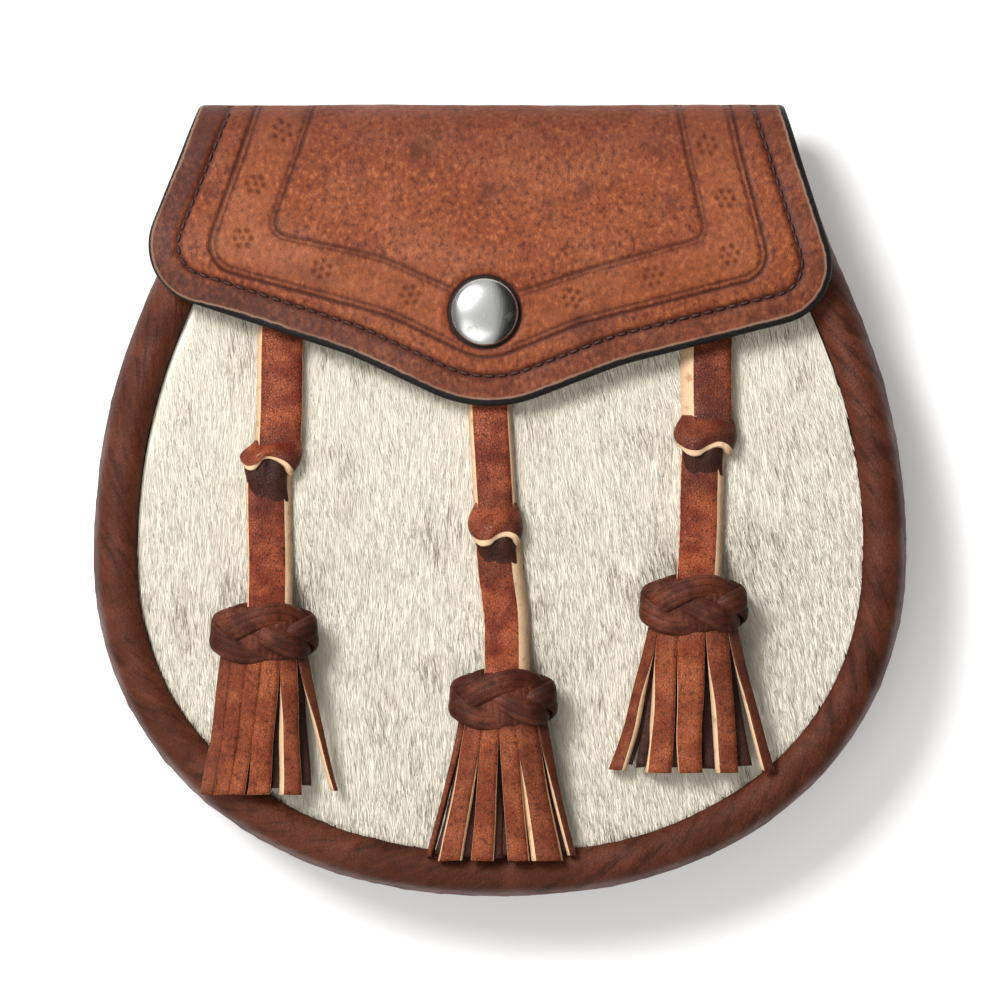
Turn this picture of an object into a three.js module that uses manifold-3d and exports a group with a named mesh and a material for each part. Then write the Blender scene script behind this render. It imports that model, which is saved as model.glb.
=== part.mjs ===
// A day sporran: the leather pouch of Highland dress, with a hair-on-hide front, a tooled flap that closes on a
// dome snap, and three knotted straps that end in leather tassels.
// Millimetres. The pouch lies on its back, as it rests on a table: +X is to the right of somebody who looks at
// its front, +Y runs up the pouch to the fold of the flap, and +Z comes out of the front. The origin is on the
// table, under the middle of the pouch.
import * as THREE from "three";
import Module from "manifold-3d";
import { mergeVertices } from "three/addons/utils/BufferGeometryUtils.js";

// ---------------------------------------------------------------- driving dimensions

const HALF_WIDTH = 90.3; // the pouch at its widest
const HALF_HEIGHT = 88; // from the middle to the fold, and to the lowest point of the rim
const WIDEST_Y = -10.7; // how high up the pouch its widest line is
const BELLY_POWER = 2.17; // the lower half is this superellipse: 2 would be an ellipse
const SHOULDER_RADIUS = 135; // the arc that carries the side up from the widest line
const SHOULDER_LEAN = THREE.MathUtils.degToRad(22.5); // and the lean of the straight side above it

const BACK_LEATHER = 2.6; // the one piece that is back panel, fold and flap
const GUSSET_LEATHER = 2; // the side wall, rolled over the front as the rim
const STRAP_LEATHER = 2;
const LOOP_LEATHER = 2;
const GAP = 0.35; // between pieces that touch

const BACK_INSET = 1.6; // the back panel ends this far inside the rim
const RIM_WIDTH = 9.4; // of the rolled edge, seen from the front
const FRONT_TOP_Y = 66; // the hide ends here, below the fold, which leaves the mouth open
const GUSSET_TOP_Y = 76.5;

const RIM_HEIGHT = 32; // the crest of the rim above the table, over the belly
const RIM_TAPER = 6.5; // how much lower it is at the mouth
const LOOP_ROOM = 7.6; // the back stands this far off the table where the belt loops are
const HIDE_DEPTH = 4.5; // skin and lying hair together
const HIDE_SET_DOWN = 2.4; // the edge of the hide below the crest of the rim
const HIDE_CROWN = 3.8; // how much the hide swells in its middle

const FOLD_Y = 77.2; // the fold turns about this line
const FLAP_FOLD_Z = 27.6; // middle of the flap's leather where it leaves the fold
const FLAP_RISE = 8; // from there to the tongue
const FLAP_DROOP = 4.5; // how far the flap's sides hang below its middle
const FLAP_TURN = THREE.MathUtils.degToRad(2); // the closed flap lies a little askew
const FLAP_PIVOT = { x: -1, y: HALF_HEIGHT };
// Half of the flap's cut, from the fold round its corner to the tongue: out from its middle line, down from the fold.
const FLAP_CUT = [
  { out: 64.6, down: 0, radius: 0 },
  { out: 79.4, down: 41.5, radius: 12.5 },
  { out: 30, down: 56.2, radius: 60 },
  { out: 0, down: 69.2, radius: 30 },
];

const SNAP = { x: -3.4, y: 41.5, capRadius: 7.5, capHeight: 3.1, postRadius: 2.2, studRadius: 4.6 };

// One row for each tassel: where its strap starts under the flap, where the strap is knotted, the middle of the
// braided head, how far the strap bows to the right between knot and head, the height at which the tassel lies,
// and the fringe.
const TASSELS = [
  {
    name: "left",
    top: { x: -47.8, y: 45 },
    knot: { x: -51, y: 6.2 },
    head: { x: -52, y: -29.4 },
    bow: 0.2,
    lie: 32.3,
    fringe: { length: 29.2, width: 30.5, drift: 0.4 },
  },
  {
    name: "middle",
    top: { x: -2.4, y: 32 },
    knot: { x: -1.4, y: -10.2 },
    head: { x: 0.7, y: -44 },
    bow: 1.6,
    lie: 31.95,
    fringe: { length: 28.4, width: 33, drift: -0.5 },
  },
  {
    name: "right",
    top: { x: 46.4, y: 45 },
    knot: { x: 45.2, y: 11.4 },
    head: { x: 42.7, y: -23.2 },
    bow: -0.2,
    lie: 31.95,
    fringe: { length: 31, width: 36.6, drift: 0 },
  },
];
const STRAP_WIDTH = 8.8;
const KNOT = { width: 10.8, thickness: 6.4, length: 9 };
const HEAD = { width: 25, depth: 13.6, length: 13 };
// The braided head from its top to its bottom, as shares of the sizes above.
const HEAD_SECTIONS = [
  { along: 0, width: 0.66, depth: 0.66 },
  { along: 0.1, width: 0.86, depth: 0.86 },
  { along: 0.32, width: 1, depth: 1 },
  { along: 0.62, width: 0.98, depth: 0.98 },
  { along: 0.88, width: 0.87, depth: 0.87 },
  { along: 1, width: 0.76, depth: 0.76 },
];
const FRINGE_TOP = { width: 20, depth: 11 };
const FRINGE_TIP_DEPTH = 8;

const BELT_LOOP = { out: 40, width: 22, low: 34.5, high: 79.5, foot: 5, slope: 4.5 };

const COLOURS = {
  tan: { color: 0xa65a3a, roughness: 0.55, metalness: 0 },
  rim: { color: 0x5f3226, roughness: 0.55, metalness: 0 },
  strap: { color: 0x8e4329, roughness: 0.6, metalness: 0 },
  braid: { color: 0x4a2620, roughness: 0.6, metalness: 0 },
  hair: { color: 0xded6c4, roughness: 0.9, metalness: 0 },
  metal: { color: 0xc9ccce, roughness: 0.3, metalness: 1 },
};

// ---------------------------------------------------------------- the pouch as formulas

const LOWER_HALF = HALF_HEIGHT + WIDEST_Y; // from the widest line to the lowest point

/** 0 below from, 1 past to, and a smooth step between them. */
function ease(value, from, to) {
  const share = THREE.MathUtils.clamp((value - from) / (to - from), 0, 1);
  return share * share * (3 - 2 * share);
}

/** Half the width of the pouch at height y, for the outline set in by so much. */
function halfWidth(y, inset = 0) {
  if (y <= WIDEST_Y) {
    const share = Math.min(1, (WIDEST_Y - y) / (LOWER_HALF - inset));
    return (HALF_WIDTH - inset) * (1 - share ** BELLY_POWER) ** (1 / BELLY_POWER);
  }
  const arcX = HALF_WIDTH - SHOULDER_RADIUS;
  const radius = SHOULDER_RADIUS - inset;
  const rise = y - WIDEST_Y;
  if (rise < radius * Math.sin(SHOULDER_LEAN)) return arcX + Math.sqrt(radius ** 2 - rise ** 2);
  return arcX + (radius - rise * Math.sin(SHOULDER_LEAN)) / Math.cos(SHOULDER_LEAN);
}

/** Heights from the lowest point of the inset outline up to top, closer together where it turns. */
function heightsUp(inset, top, bellySteps, sideSteps, firstTurn) {
  const heights = [];
  for (let i = 0; i < bellySteps; i += 1) {
    const turn = THREE.MathUtils.lerp(firstTurn, Math.PI / 2, i / bellySteps);
    heights.push(WIDEST_Y - (LOWER_HALF - inset) * Math.cos(turn) ** (2 / BELLY_POWER));
  }
  for (let i = 0; i <= sideSteps; i += 1) heights.push(THREE.MathUtils.lerp(WIDEST_Y, top, i / sideSteps));
  return heights;
}

/** The underside of the back panel: flat on the table, and lifted over the belt loops. */
const backUnderside = (y) => LOOP_ROOM * ease(y, -4, 33);

/** The crest of the rolled rim. */
const rimCrest = (y) => RIM_HEIGHT - RIM_TAPER * ease(y, -10, 75);

/** The top of the lying hair. */
function hairTop(x, y) {
  const spread = Math.min(1, (x / 82) ** 2 + ((y + 8) / 72) ** 2);
  return rimCrest(y) - HIDE_SET_DOWN + HIDE_CROWN * (1 - spread);
}

/** The middle of the flap's leather. */
function flapMiddle(x, y) {
  const droop = FLAP_DROOP * ease(y, FOLD_Y, 40) * (x / 75) ** 2;
  return FLAP_FOLD_Z + FLAP_RISE * ease(y, 80, 50) - droop;
}

// ---------------------------------------------------------------- solids from sections

/** A closed solid through rings of points: each ring joins the next, and the first and last are closed. */
function loft(rings) {
  const count = rings[0].length;
  const index = [];
  for (let i = 0; i + 1 < rings.length; i += 1) {
    for (let j = 0; j < count; j += 1) {
      const near = i * count + j;
      const next = i * count + ((j + 1) % count);
      index.push(near, next, next + count, near, next + count, near + count);
    }
  }
  const last = (rings.length - 1) * count;
  for (let j = 0; j + 1 < count / 2; j += 1) {
    const [a, b, c, d] = [j, j + 1, count - 2 - j, count - 1 - j];
    index.push(a, c, b, a, d, c);
    index.push(last + a, last + b, last + c, last + a, last + c, last + d);
  }
  const positions = rings.flat().flatMap((point) => point.toArray());
  if (signedVolume(positions, index) < 0) index.reverse();
  const geometry = new THREE.BufferGeometry();
  geometry.setAttribute("position", new THREE.Float32BufferAttribute(positions, 3));
  geometry.setIndex(index);
  geometry.computeVertexNormals();
  return geometry;
}

/** Six times the volume inside the triangles, negative when they face inwards. */
function signedVolume(positions, index) {
  const corner = (i) => new THREE.Vector3().fromArray(positions, 3 * i);
  let volume = 0;
  for (let i = 0; i < index.length; i += 3) {
    volume += corner(index[i]).dot(corner(index[i + 1]).cross(corner(index[i + 2])));
  }
  return volume;
}

/** A ring round an ellipse in the plane across Y, flattened a little where it lies. */
function ovalRing(x, y, z, width, depth, points = 16) {
  const ring = [];
  for (let i = 0; i < points; i += 1) {
    const angle = (2 * Math.PI * (i + 0.5)) / points;
    const height = Math.max(Math.sin(angle), -0.86);
    ring.push(new THREE.Vector3(x + (width / 2) * Math.cos(angle), y, z + (depth / 2) * height));
  }
  return ring;
}

const wasm = await Module();
wasm.setup();

/** A geometry as a manifold-3d solid. */
function toSolid(geometry) {
  const bare = new THREE.BufferGeometry().setAttribute("position", geometry.getAttribute("position"));
  if (geometry.index) bare.setIndex(geometry.index);
  const merged = mergeVertices(bare, 1e-3);
  return new wasm.Manifold(
    new wasm.Mesh({
      numProp: 3,
      vertProperties: merged.attributes.position.array,
      triVerts: new Uint32Array(merged.index.array),
    }),
  );
}

/** The geometry with a round hole for the snap's post, cut down from above as far as the floor. */
function drillForSnap(geometry, floor) {
  const radius = SNAP.postRadius + GAP;
  const length = 40;
  const bit = new THREE.CylinderGeometry(radius, radius, length, 16);
  bit.rotateX(Math.PI / 2);
  bit.translate(SNAP.x, SNAP.y, floor + length / 2);
  const mesh = toSolid(geometry).subtract(toSolid(bit)).getMesh();
  const drilled = new THREE.BufferGeometry();
  drilled.setAttribute("position", new THREE.Float32BufferAttribute(mesh.vertProperties, 3));
  drilled.setIndex(new THREE.BufferAttribute(mesh.triVerts, 1));
  drilled.computeVertexNormals();
  return drilled;
}

// ---------------------------------------------------------------- back, fold and flap

/** Points along a polygon whose corners are rounded to their radii. */
function roundedOutline(corners, arcSteps = 8) {
  const points = [];
  corners.forEach(({ at, radius }, i) => {
    if (!radius) {
      points.push(at);
      return;
    }
    const before = corners[i - 1].at.clone().sub(at).normalize();
    const after = corners[i + 1].at.clone().sub(at).normalize();
    const halfAngle = Math.acos(before.dot(after)) / 2;
    const middle = before.clone().add(after).normalize();
    const centre = middle.multiplyScalar(radius / Math.sin(halfAngle)).add(at);
    const start = before.multiplyScalar(radius / Math.tan(halfAngle)).add(at).sub(centre);
    const end = after.multiplyScalar(radius / Math.tan(halfAngle)).add(at).sub(centre);
    let sweep = end.angle() - start.angle();
    if (sweep > Math.PI) sweep -= 2 * Math.PI;
    if (sweep < -Math.PI) sweep += 2 * Math.PI;
    for (let k = 0; k <= arcSteps; k += 1) {
      const turned = start.clone().rotateAround(new THREE.Vector2(), (sweep * k) / arcSteps);
      points.push(turned.add(centre));
    }
  });
  return points;
}

/** The flap's outline seen from the front, turned to the way it lies. */
function flapOutline() {
  const place = (side, { out, down, radius }) => {
    const at = new THREE.Vector2(FLAP_PIVOT.x + side * out, FLAP_PIVOT.y - down);
    return { at: at.rotateAround(new THREE.Vector2(FLAP_PIVOT.x, FLAP_PIVOT.y), -FLAP_TURN), radius };
  };
  const right = FLAP_CUT.map((corner) => place(1, corner));
  const left = FLAP_CUT.slice(0, -1).map((corner) => place(-1, corner));
  return roundedOutline([...right, ...left.reverse()]);
}

/** Where a level line at y crosses an outline: the lowest and highest x. */
function spanAt(outline, y) {
  const crossings = [];
  outline.slice(1).forEach((end, i) => {
    const start = outline[i];
    if (start.y === end.y || (start.y - y) * (end.y - y) > 0) return;
    crossings.push(THREE.MathUtils.lerp(start.x, end.x, (y - start.y) / (end.y - start.y)));
  });
  return [Math.min(...crossings), Math.max(...crossings)];
}

/** A thin ring across the sheet: along its outer face and back along its inner one. */
function sheetRing({ left, right, y, normal, middle }, columns = 14) {
  const outer = [];
  const inner = [];
  const half = BACK_LEATHER / 2;
  for (let i = 0; i <= columns; i += 1) {
    const x = THREE.MathUtils.lerp(left, right, i / columns);
    const z = middle(x);
    outer.push(new THREE.Vector3(x, y + normal.y * half, z + normal.z * half));
    inner.unshift(new THREE.Vector3(x, y - normal.y * half, z - normal.z * half));
  }
  return [...outer, ...inner];
}

/** The unit vector across a sheet whose height is a function of y; side is 1 for +Z and -1 for -Z. */
function acrossSheet(heightAt, y, side) {
  const slope = (heightAt(y + 0.5) - heightAt(y - 0.5)) / 1;
  return new THREE.Vector3(0, -slope * side, side).normalize();
}

/** The back panel, the fold over the mouth and the flap, cut from one piece of leather. */
function backAndFlapGeometry() {
  const outline = flapOutline();
  const backMiddle = (y) => backUnderside(y) + BACK_LEATHER / 2;
  const rings = heightsUp(BACK_INSET, FOLD_Y - 2, 11, 13, 0.1).map((y) => {
    const out = halfWidth(y, BACK_INSET);
    const normal = acrossSheet(backMiddle, y, -1);
    return sheetRing({ left: -out, right: out, y, normal, middle: () => backMiddle(y) });
  });

  const backOut = halfWidth(FOLD_Y, BACK_INSET);
  const [flapLeft, flapRight] = spanAt(outline, FOLD_Y);
  const foldRadius = (FLAP_FOLD_Z - backMiddle(FOLD_Y)) / 2;
  const foldSteps = 10;
  for (let i = 0; i < foldSteps; i += 1) {
    const turn = (Math.PI * i) / foldSteps;
    const share = i / foldSteps;
    rings.push(
      sheetRing({
        left: THREE.MathUtils.lerp(-backOut, flapLeft, share),
        right: THREE.MathUtils.lerp(backOut, flapRight, share),
        y: FOLD_Y + foldRadius * Math.sin(turn),
        normal: new THREE.Vector3(0, Math.sin(turn), -Math.cos(turn)),
        middle: () => backMiddle(FOLD_Y) + foldRadius * (1 - Math.cos(turn)),
      }),
    );
  }

  const tip = Math.min(...outline.map((point) => point.y)) + 0.25;
  const flapSteps = 26;
  for (let i = 0; i <= flapSteps; i += 1) {
    const y = THREE.MathUtils.lerp(FOLD_Y, tip, Math.sin((Math.PI / 2) * (i / flapSteps)));
    const [left, right] = spanAt(outline, y);
    const normal = acrossSheet((height) => flapMiddle(0, height), y, 1);
    rings.push(sheetRing({ left, right, y, normal, middle: (x) => flapMiddle(x, y) }));
  }
  return drillForSnap(loft(rings), FLAP_FOLD_Z);
}

// ---------------------------------------------------------------- gusset

/** The outline of the pouch from its left top round the bottom to its right top. */
class PouchOutline extends THREE.Curve {
  getPoint(t) {
    const side = t < 0.5 ? -1 : 1;
    const climb = Math.abs(2 * t - 1);
    const belly = 0.6; // this share of the parameter is spent below the widest line
    if (climb < belly) {
      const turn = (Math.PI / 2) * (climb / belly);
      const x = HALF_WIDTH * Math.sin(turn) ** (2 / BELLY_POWER);
      return new THREE.Vector3(side * x, WIDEST_Y - LOWER_HALF * Math.cos(turn) ** (2 / BELLY_POWER), 0);
    }
    const y = THREE.MathUtils.mapLinear(climb, belly, 1, WIDEST_Y, GUSSET_TOP_Y);
    return new THREE.Vector3(side * halfWidth(y), y, 0);
  }
}

/**
 * The middle of the gusset's leather in a cut across the wall: how far inside the silhouette, and how high. It
 * starts on the back panel as a turned flange, climbs the wall, rolls over the front and dips to the hide.
 */
function gussetSection(y) {
  const half = GUSSET_LEATHER / 2;
  const base = backUnderside(y) + BACK_LEATHER + 1.2 * GAP + half;
  const crest = rimCrest(y) - half;
  const wall = crest - base;
  return [
    { inset: 9.5, height: base },
    { inset: 4.6, height: base },
    { inset: 2.6, height: base + 1.2 },
    { inset: 1.5, height: base + 0.28 * wall },
    { inset: half, height: base + 0.5 * wall },
    { inset: 1.25, height: base + 0.7 * wall },
    { inset: 2.3, height: crest - 1.9 },
    { inset: 4, height: crest - 0.4 },
    { inset: 6, height: crest },
    { inset: 7.8, height: crest - 0.6 },
    { inset: RIM_WIDTH - 0.2, height: crest - 1.9 },
  ];
}

/** The side wall with its rolled front rim, swept round the pouch. */
function gussetGeometry() {
  const outline = new PouchOutline();
  const stations = 60;
  const rings = [];
  for (let i = 0; i <= stations; i += 1) {
    const at = outline.getPointAt(i / stations);
    const along = outline.getTangentAt(THREE.MathUtils.clamp(i / stations, 0.001, 0.999));
    const inward = new THREE.Vector3(-along.y, along.x, 0);
    const section = gussetSection(at.y);
    const place = ({ inset, height }) => at.clone().addScaledVector(inward, inset).setZ(height);
    const middle = section.map(place);
    const outer = [];
    const inner = [];
    middle.forEach((point, k) => {
      const run = middle[Math.min(k + 1, middle.length - 1)].clone().sub(middle[Math.max(k - 1, 0)]);
      const across = run.cross(along).normalize().multiplyScalar(GUSSET_LEATHER / 2);
      outer.push(point.clone().add(across));
      inner.unshift(point.clone().sub(across));
    });
    rings.push([...outer, ...inner]);
  }
  return loft(rings);
}

// ---------------------------------------------------------------- hair-on-hide front

/** The hide front: its edge lies inside the rolled rim, its top is the outer form of the hair. */
function frontGeometry() {
  const inset = RIM_WIDTH + 0.95;
  const heights = heightsUp(inset, FRONT_TOP_Y, 12, 11, 0.12);
  const right = heights.map((y) => new THREE.Vector2(halfWidth(y, inset), y));
  const topEdge = [0.6, 0.2].map((share) => new THREE.Vector2(share * right.at(-1).x, FRONT_TOP_Y));
  const half = [...right, ...topEdge];
  const edge = [...half, ...half.map(({ x, y }) => new THREE.Vector2(-x, y)).reverse()];
  const centre = new THREE.Vector2(0, -4);
  const shares = [0.12, 0.35, 0.6, 0.82, 1];
  const ring = (share, heightAt) =>
    edge.map((point) => {
      const { x, y } = centre.clone().lerp(point, share);
      return new THREE.Vector3(x, y, heightAt(x, y));
    });
  const under = shares.map((share) => ring(share, (x, y) => hairTop(x, y) - HIDE_DEPTH));
  const over = shares.map((share) => ring(share, hairTop)).reverse();
  return drillForSnap(loft([...under, ...over]), hairTop(SNAP.x, SNAP.y) - 2 * HIDE_DEPTH);
}

// ---------------------------------------------------------------- snap

/** A turned shape whose axis stands up at the snap. Each row of the profile is a radius and a height. */
function turnedAtSnap(profile) {
  const geometry = new THREE.LatheGeometry(
    profile.map(([radius, height]) => new THREE.Vector2(radius, height)),
    32,
  );
  geometry.rotateX(Math.PI / 2);
  geometry.translate(SNAP.x, SNAP.y, 0);
  return geometry;
}

/** The dome cap over the flap, with its post through the leather and the socket under it. */
function snapCapGeometry() {
  const seat = flapMiddle(SNAP.x, SNAP.y) + BACK_LEATHER / 2 + GAP + 0.5;
  const under = flapMiddle(SNAP.x, SNAP.y) - BACK_LEATHER / 2 - GAP - 0.4;
  const dome = [];
  for (let i = 0; i <= 6; i += 1) {
    const turn = (Math.PI / 2) * (i / 6);
    dome.push([SNAP.capRadius * Math.cos(turn), seat + 0.7 + (SNAP.capHeight - 0.7) * Math.sin(turn)]);
  }
  return turnedAtSnap([
    [0, under - 1.1],
    [SNAP.studRadius, under - 1.1],
    [SNAP.studRadius, under],
    [SNAP.postRadius, under],
    [SNAP.postRadius, seat],
    [SNAP.capRadius - 0.4, seat],
    ...dome.slice(0, -1),
    [0, seat + SNAP.capHeight],
  ]);
}

/** The stud that the socket snaps on, riveted through the hide. */
function snapStudGeometry() {
  const top = flapMiddle(SNAP.x, SNAP.y) - BACK_LEATHER / 2 - GAP - 0.4 - 1.1 - GAP;
  const hairFace = hairTop(SNAP.x, SNAP.y - SNAP.studRadius) + GAP;
  const skinFace = hairTop(SNAP.x, SNAP.y + SNAP.studRadius) - HIDE_DEPTH - GAP - 0.1;
  return turnedAtSnap([
    [0, skinFace - 1],
    [SNAP.studRadius, skinFace - 1],
    [SNAP.studRadius, skinFace],
    [SNAP.postRadius, skinFace],
    [SNAP.postRadius, hairFace],
    [SNAP.studRadius, hairFace],
    [SNAP.studRadius, top],
    [0, top],
  ]);
}

// ---------------------------------------------------------------- tassels

/** A knotted strap: it leaves the hide under the flap, lies down the hair and rises into the braided head. */
function strapGeometry({ top, knot, head, bow, lie }) {
  const headTop = head.y + HEAD.length / 2 + GAP;
  const between = { x: (knot.x + head.x) / 2 + bow, y: (knot.y + headTop) / 2 };
  const route = new THREE.CatmullRomCurve3(
    [top, { x: (top.x + knot.x) / 2, y: (top.y + knot.y) / 2 }, knot, between, { x: head.x, y: headTop }].map(
      ({ x, y }) => new THREE.Vector3(x, y, 0),
    ),
  );
  const steps = 26;
  const rings = [];
  for (let i = 0; i <= steps; i += 1) {
    const { x, y } = route.getPointAt(i / steps);
    const fullness = Math.max(0, 1 - ((y - knot.y) / (KNOT.length / 2)) ** 2);
    const width = THREE.MathUtils.lerp(STRAP_WIDTH, KNOT.width, fullness);
    const thickness = THREE.MathUtils.lerp(STRAP_LEATHER, KNOT.thickness, Math.sqrt(fullness));
    const lift = (lie + HEAD.depth * 0.3 - hairTop(x, y)) * ease(y, headTop + 11, headTop);
    const under = hairTop(x, y) + 2 * GAP + lift;
    const corner = Math.min(0.3 * thickness, 1.6);
    rings.push(
      [
        [-width / 2, corner],
        [-width / 2, thickness - corner],
        [-width / 2 + corner, thickness],
        [width / 2 - corner, thickness],
        [width / 2, thickness - corner],
        [width / 2, corner],
        [width / 2 - corner, 0],
        [-width / 2 + corner, 0],
      ].map(([across, up]) => new THREE.Vector3(x + across, y, under + up)),
    );
  }
  return loft(rings);
}

/** The braided ring that binds the tassel. */
function headGeometry({ head, lie }) {
  const top = head.y + HEAD.length / 2;
  return loft(
    HEAD_SECTIONS.map(({ along, width, depth }) =>
      ovalRing(head.x, top - along * HEAD.length, lie + HEAD.depth / 2, width * HEAD.width, depth * HEAD.depth, 20),
    ),
  );
}

/** The outer form of the cut fringe, which opens towards its tips. */
function fringeGeometry({ head, lie, fringe }) {
  const top = head.y - HEAD.length / 2 - GAP;
  const steps = 6;
  const rings = [];
  for (let i = 0; i <= steps; i += 1) {
    const share = i / steps;
    const width = THREE.MathUtils.lerp(FRINGE_TOP.width, fringe.width, share);
    const depth = THREE.MathUtils.lerp(FRINGE_TOP.depth, FRINGE_TIP_DEPTH, ease(share, 0, 1));
    const fall = (HEAD.depth - FRINGE_TOP.depth) / 2;
    const z = lie + depth / 2 + fall * (1 - ease(share, 0, 0.8)) - 0.07 * depth * ease(share, 0, 1);
    rings.push(ovalRing(head.x + fringe.drift * share, top - fringe.length * share, z, width, depth, 20));
  }
  return loft(rings);
}

// ---------------------------------------------------------------- belt loops

/** A strip stitched to the back at both ends, which stands off between them to let the sporran belt through. */
function beltLoopGeometry(side) {
  const { out, width, low, high, foot, slope } = BELT_LOOP;
  const face = LOOP_ROOM - GAP; // the side that lies on the back panel
  const fromEnds = [
    { along: 0, drop: 0 },
    { along: foot, drop: 0 },
    { along: foot + slope, drop: face - LOOP_LEATHER },
  ];
  const fromLow = fromEnds.map(({ along, drop }) => new THREE.Vector2(low + along, face - drop));
  const fromHigh = fromEnds.map(({ along, drop }) => new THREE.Vector2(high - along, face - drop));
  const upper = [...fromLow, ...fromHigh.reverse()];
  const lower = upper.map(({ x, y }) => new THREE.Vector2(x, y - LOOP_LEATHER)).reverse();
  const strip = new THREE.ExtrudeGeometry(new THREE.Shape([...upper, ...lower]), {
    depth: width,
    bevelEnabled: false,
  });
  // The shape is drawn as (along the pouch, height), and extruded across the pouch.
  strip.applyMatrix4(
    new THREE.Matrix4().makeBasis(
      new THREE.Vector3(0, 1, 0),
      new THREE.Vector3(0, 0, 1),
      new THREE.Vector3(1, 0, 0),
    ),
  );
  strip.translate(side * out - width / 2, 0, 0);
  return strip;
}

// ---------------------------------------------------------------- assembly

const sporran = new THREE.Group();

/** Adds one named piece in its own material. */
function addPiece(name, geometry, finish) {
  const mesh = new THREE.Mesh(geometry, new THREE.MeshStandardMaterial(finish));
  mesh.name = name;
  sporran.add(mesh);
}

addPiece("back_and_flap", backAndFlapGeometry(), COLOURS.tan);
addPiece("gusset", gussetGeometry(), COLOURS.rim);
addPiece("hide_front", frontGeometry(), COLOURS.hair);
addPiece("snap_cap", snapCapGeometry(), COLOURS.metal);
addPiece("snap_stud", snapStudGeometry(), COLOURS.metal);
TASSELS.forEach((tassel) => {
  addPiece(`strap_${tassel.name}`, strapGeometry(tassel), COLOURS.strap);
  addPiece(`tassel_head_${tassel.name}`, headGeometry(tassel), COLOURS.braid);
  addPiece(`tassel_fringe_${tassel.name}`, fringeGeometry(tassel), COLOURS.strap);
});
addPiece("belt_loop_left", beltLoopGeometry(-1), COLOURS.rim);
addPiece("belt_loop_right", beltLoopGeometry(1), COLOURS.rim);

export default sporran;
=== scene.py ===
"""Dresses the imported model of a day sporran: tooled flap, rolled rim, hair-on-hide front, snap and tassels.

Lengths in this file are millimetres and are turned to metres where a mesh is made. The pouch lies on its back:
+X is to the right of somebody who looks at its front, +Y runs up to the fold of the flap, +Z is towards them.
"""

from __future__ import annotations

import logging
import math
from collections.abc import Sequence
from dataclasses import dataclass, field
from enum import Enum
from typing import Any

import bmesh
import bpy
import numpy as np
from bpy.types import Material, Node, NodeTree, Object
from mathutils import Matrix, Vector


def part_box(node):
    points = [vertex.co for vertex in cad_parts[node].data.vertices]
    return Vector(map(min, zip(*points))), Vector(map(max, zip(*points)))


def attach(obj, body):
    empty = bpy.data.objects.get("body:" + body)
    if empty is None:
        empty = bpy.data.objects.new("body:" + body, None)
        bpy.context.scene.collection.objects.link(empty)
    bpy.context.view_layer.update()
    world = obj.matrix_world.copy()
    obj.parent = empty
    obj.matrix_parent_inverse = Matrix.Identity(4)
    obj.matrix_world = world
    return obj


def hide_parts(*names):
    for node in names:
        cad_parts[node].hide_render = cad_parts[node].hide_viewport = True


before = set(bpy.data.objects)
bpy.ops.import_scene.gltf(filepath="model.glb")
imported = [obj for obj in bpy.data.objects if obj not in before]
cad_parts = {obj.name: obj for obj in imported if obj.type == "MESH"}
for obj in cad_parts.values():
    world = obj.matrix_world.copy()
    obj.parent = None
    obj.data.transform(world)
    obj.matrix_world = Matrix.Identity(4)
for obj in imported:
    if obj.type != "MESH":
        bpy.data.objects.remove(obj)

LOG = logging.getLogger("sporran")
MM = 0.001
ROOT = "root"
UP = np.array([0.0, 0.0, 1.0])

Colour = tuple[float, float, float, float]
Socket = bpy.types.NodeSocket
Array = np.ndarray


class Side(Enum):
    """Which tassel or belt loop a piece belongs to."""

    LEFT = "left"
    MIDDLE = "middle"
    RIGHT = "right"


class Slot(Enum):
    """The record's material slots."""

    TAN = "tan_leather"
    RIM = "rim_leather"
    STRAP = "strap_leather"
    BRAID = "braid_leather"
    HIDE = "hide"
    METAL = "snap_metal"


# ---------------------------------------- numbers and curves


def srgb(red: int, green: int, blue: int) -> Colour:
    """Turns a screen colour of 0 to 255 into the linear colour that nodes take."""
    values = np.array([red, green, blue]) / 255
    linear = np.where(values <= 0.04045, values / 12.92, ((values + 0.055) / 1.055) ** 2.4)
    return (float(linear[0]), float(linear[1]), float(linear[2]), 1.0)


def ease(value: Any, start: float, end: float) -> Any:
    """Steps smoothly from 0 at start to 1 at end.

    Args:
        value: A number or an array.
        start: Where the step begins.
        end: Where it is complete; it may be below start.

    Returns:
        The step's height, in the form of value.
    """
    share = np.clip((value - start) / (end - start), 0, 1)
    return share * share * (3 - 2 * share)


def lengths(path: Array) -> Array:
    """Gives how far along a path each of its points is."""
    return np.concatenate([[0.0], np.cumsum(np.linalg.norm(np.diff(path, axis=0), axis=1))])


def resample(path: Array, shares: Array) -> Array:
    """Gives points at shares of a path's length.

    Args:
        path: Points of the path, one a row.
        shares: Places along it, from 0 to 1.

    Returns:
        One row for each share.
    """
    along = lengths(path)
    return np.stack([np.interp(shares * along[-1], along, path[:, k]) for k in range(path.shape[1])], axis=1)


def smooth_path(points: Sequence[Sequence[float]], count: int) -> Array:
    """Runs a smooth curve through a few points.

    Args:
        points: The points that the curve passes through.
        count: How many points the curve gets.

    Returns:
        The curve's points, evenly spaced.
    """
    knots = np.array(points, float)
    padded = np.vstack([2 * knots[0] - knots[1], knots, 2 * knots[-1] - knots[-2]])
    pieces = []
    for i in range(len(knots) - 1):
        a, b, c, d = padded[i : i + 4]
        t = np.linspace(0, 1, 24, endpoint=False)[:, None]
        pieces.append(
            0.5 * (2 * b + (c - a) * t + (2 * a - 5 * b + 4 * c - d) * t**2 + (3 * b - a - 3 * c + d) * t**3)
        )
    pieces.append(knots[-1:])
    return resample(np.vstack(pieces), np.linspace(0, 1, count))


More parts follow.
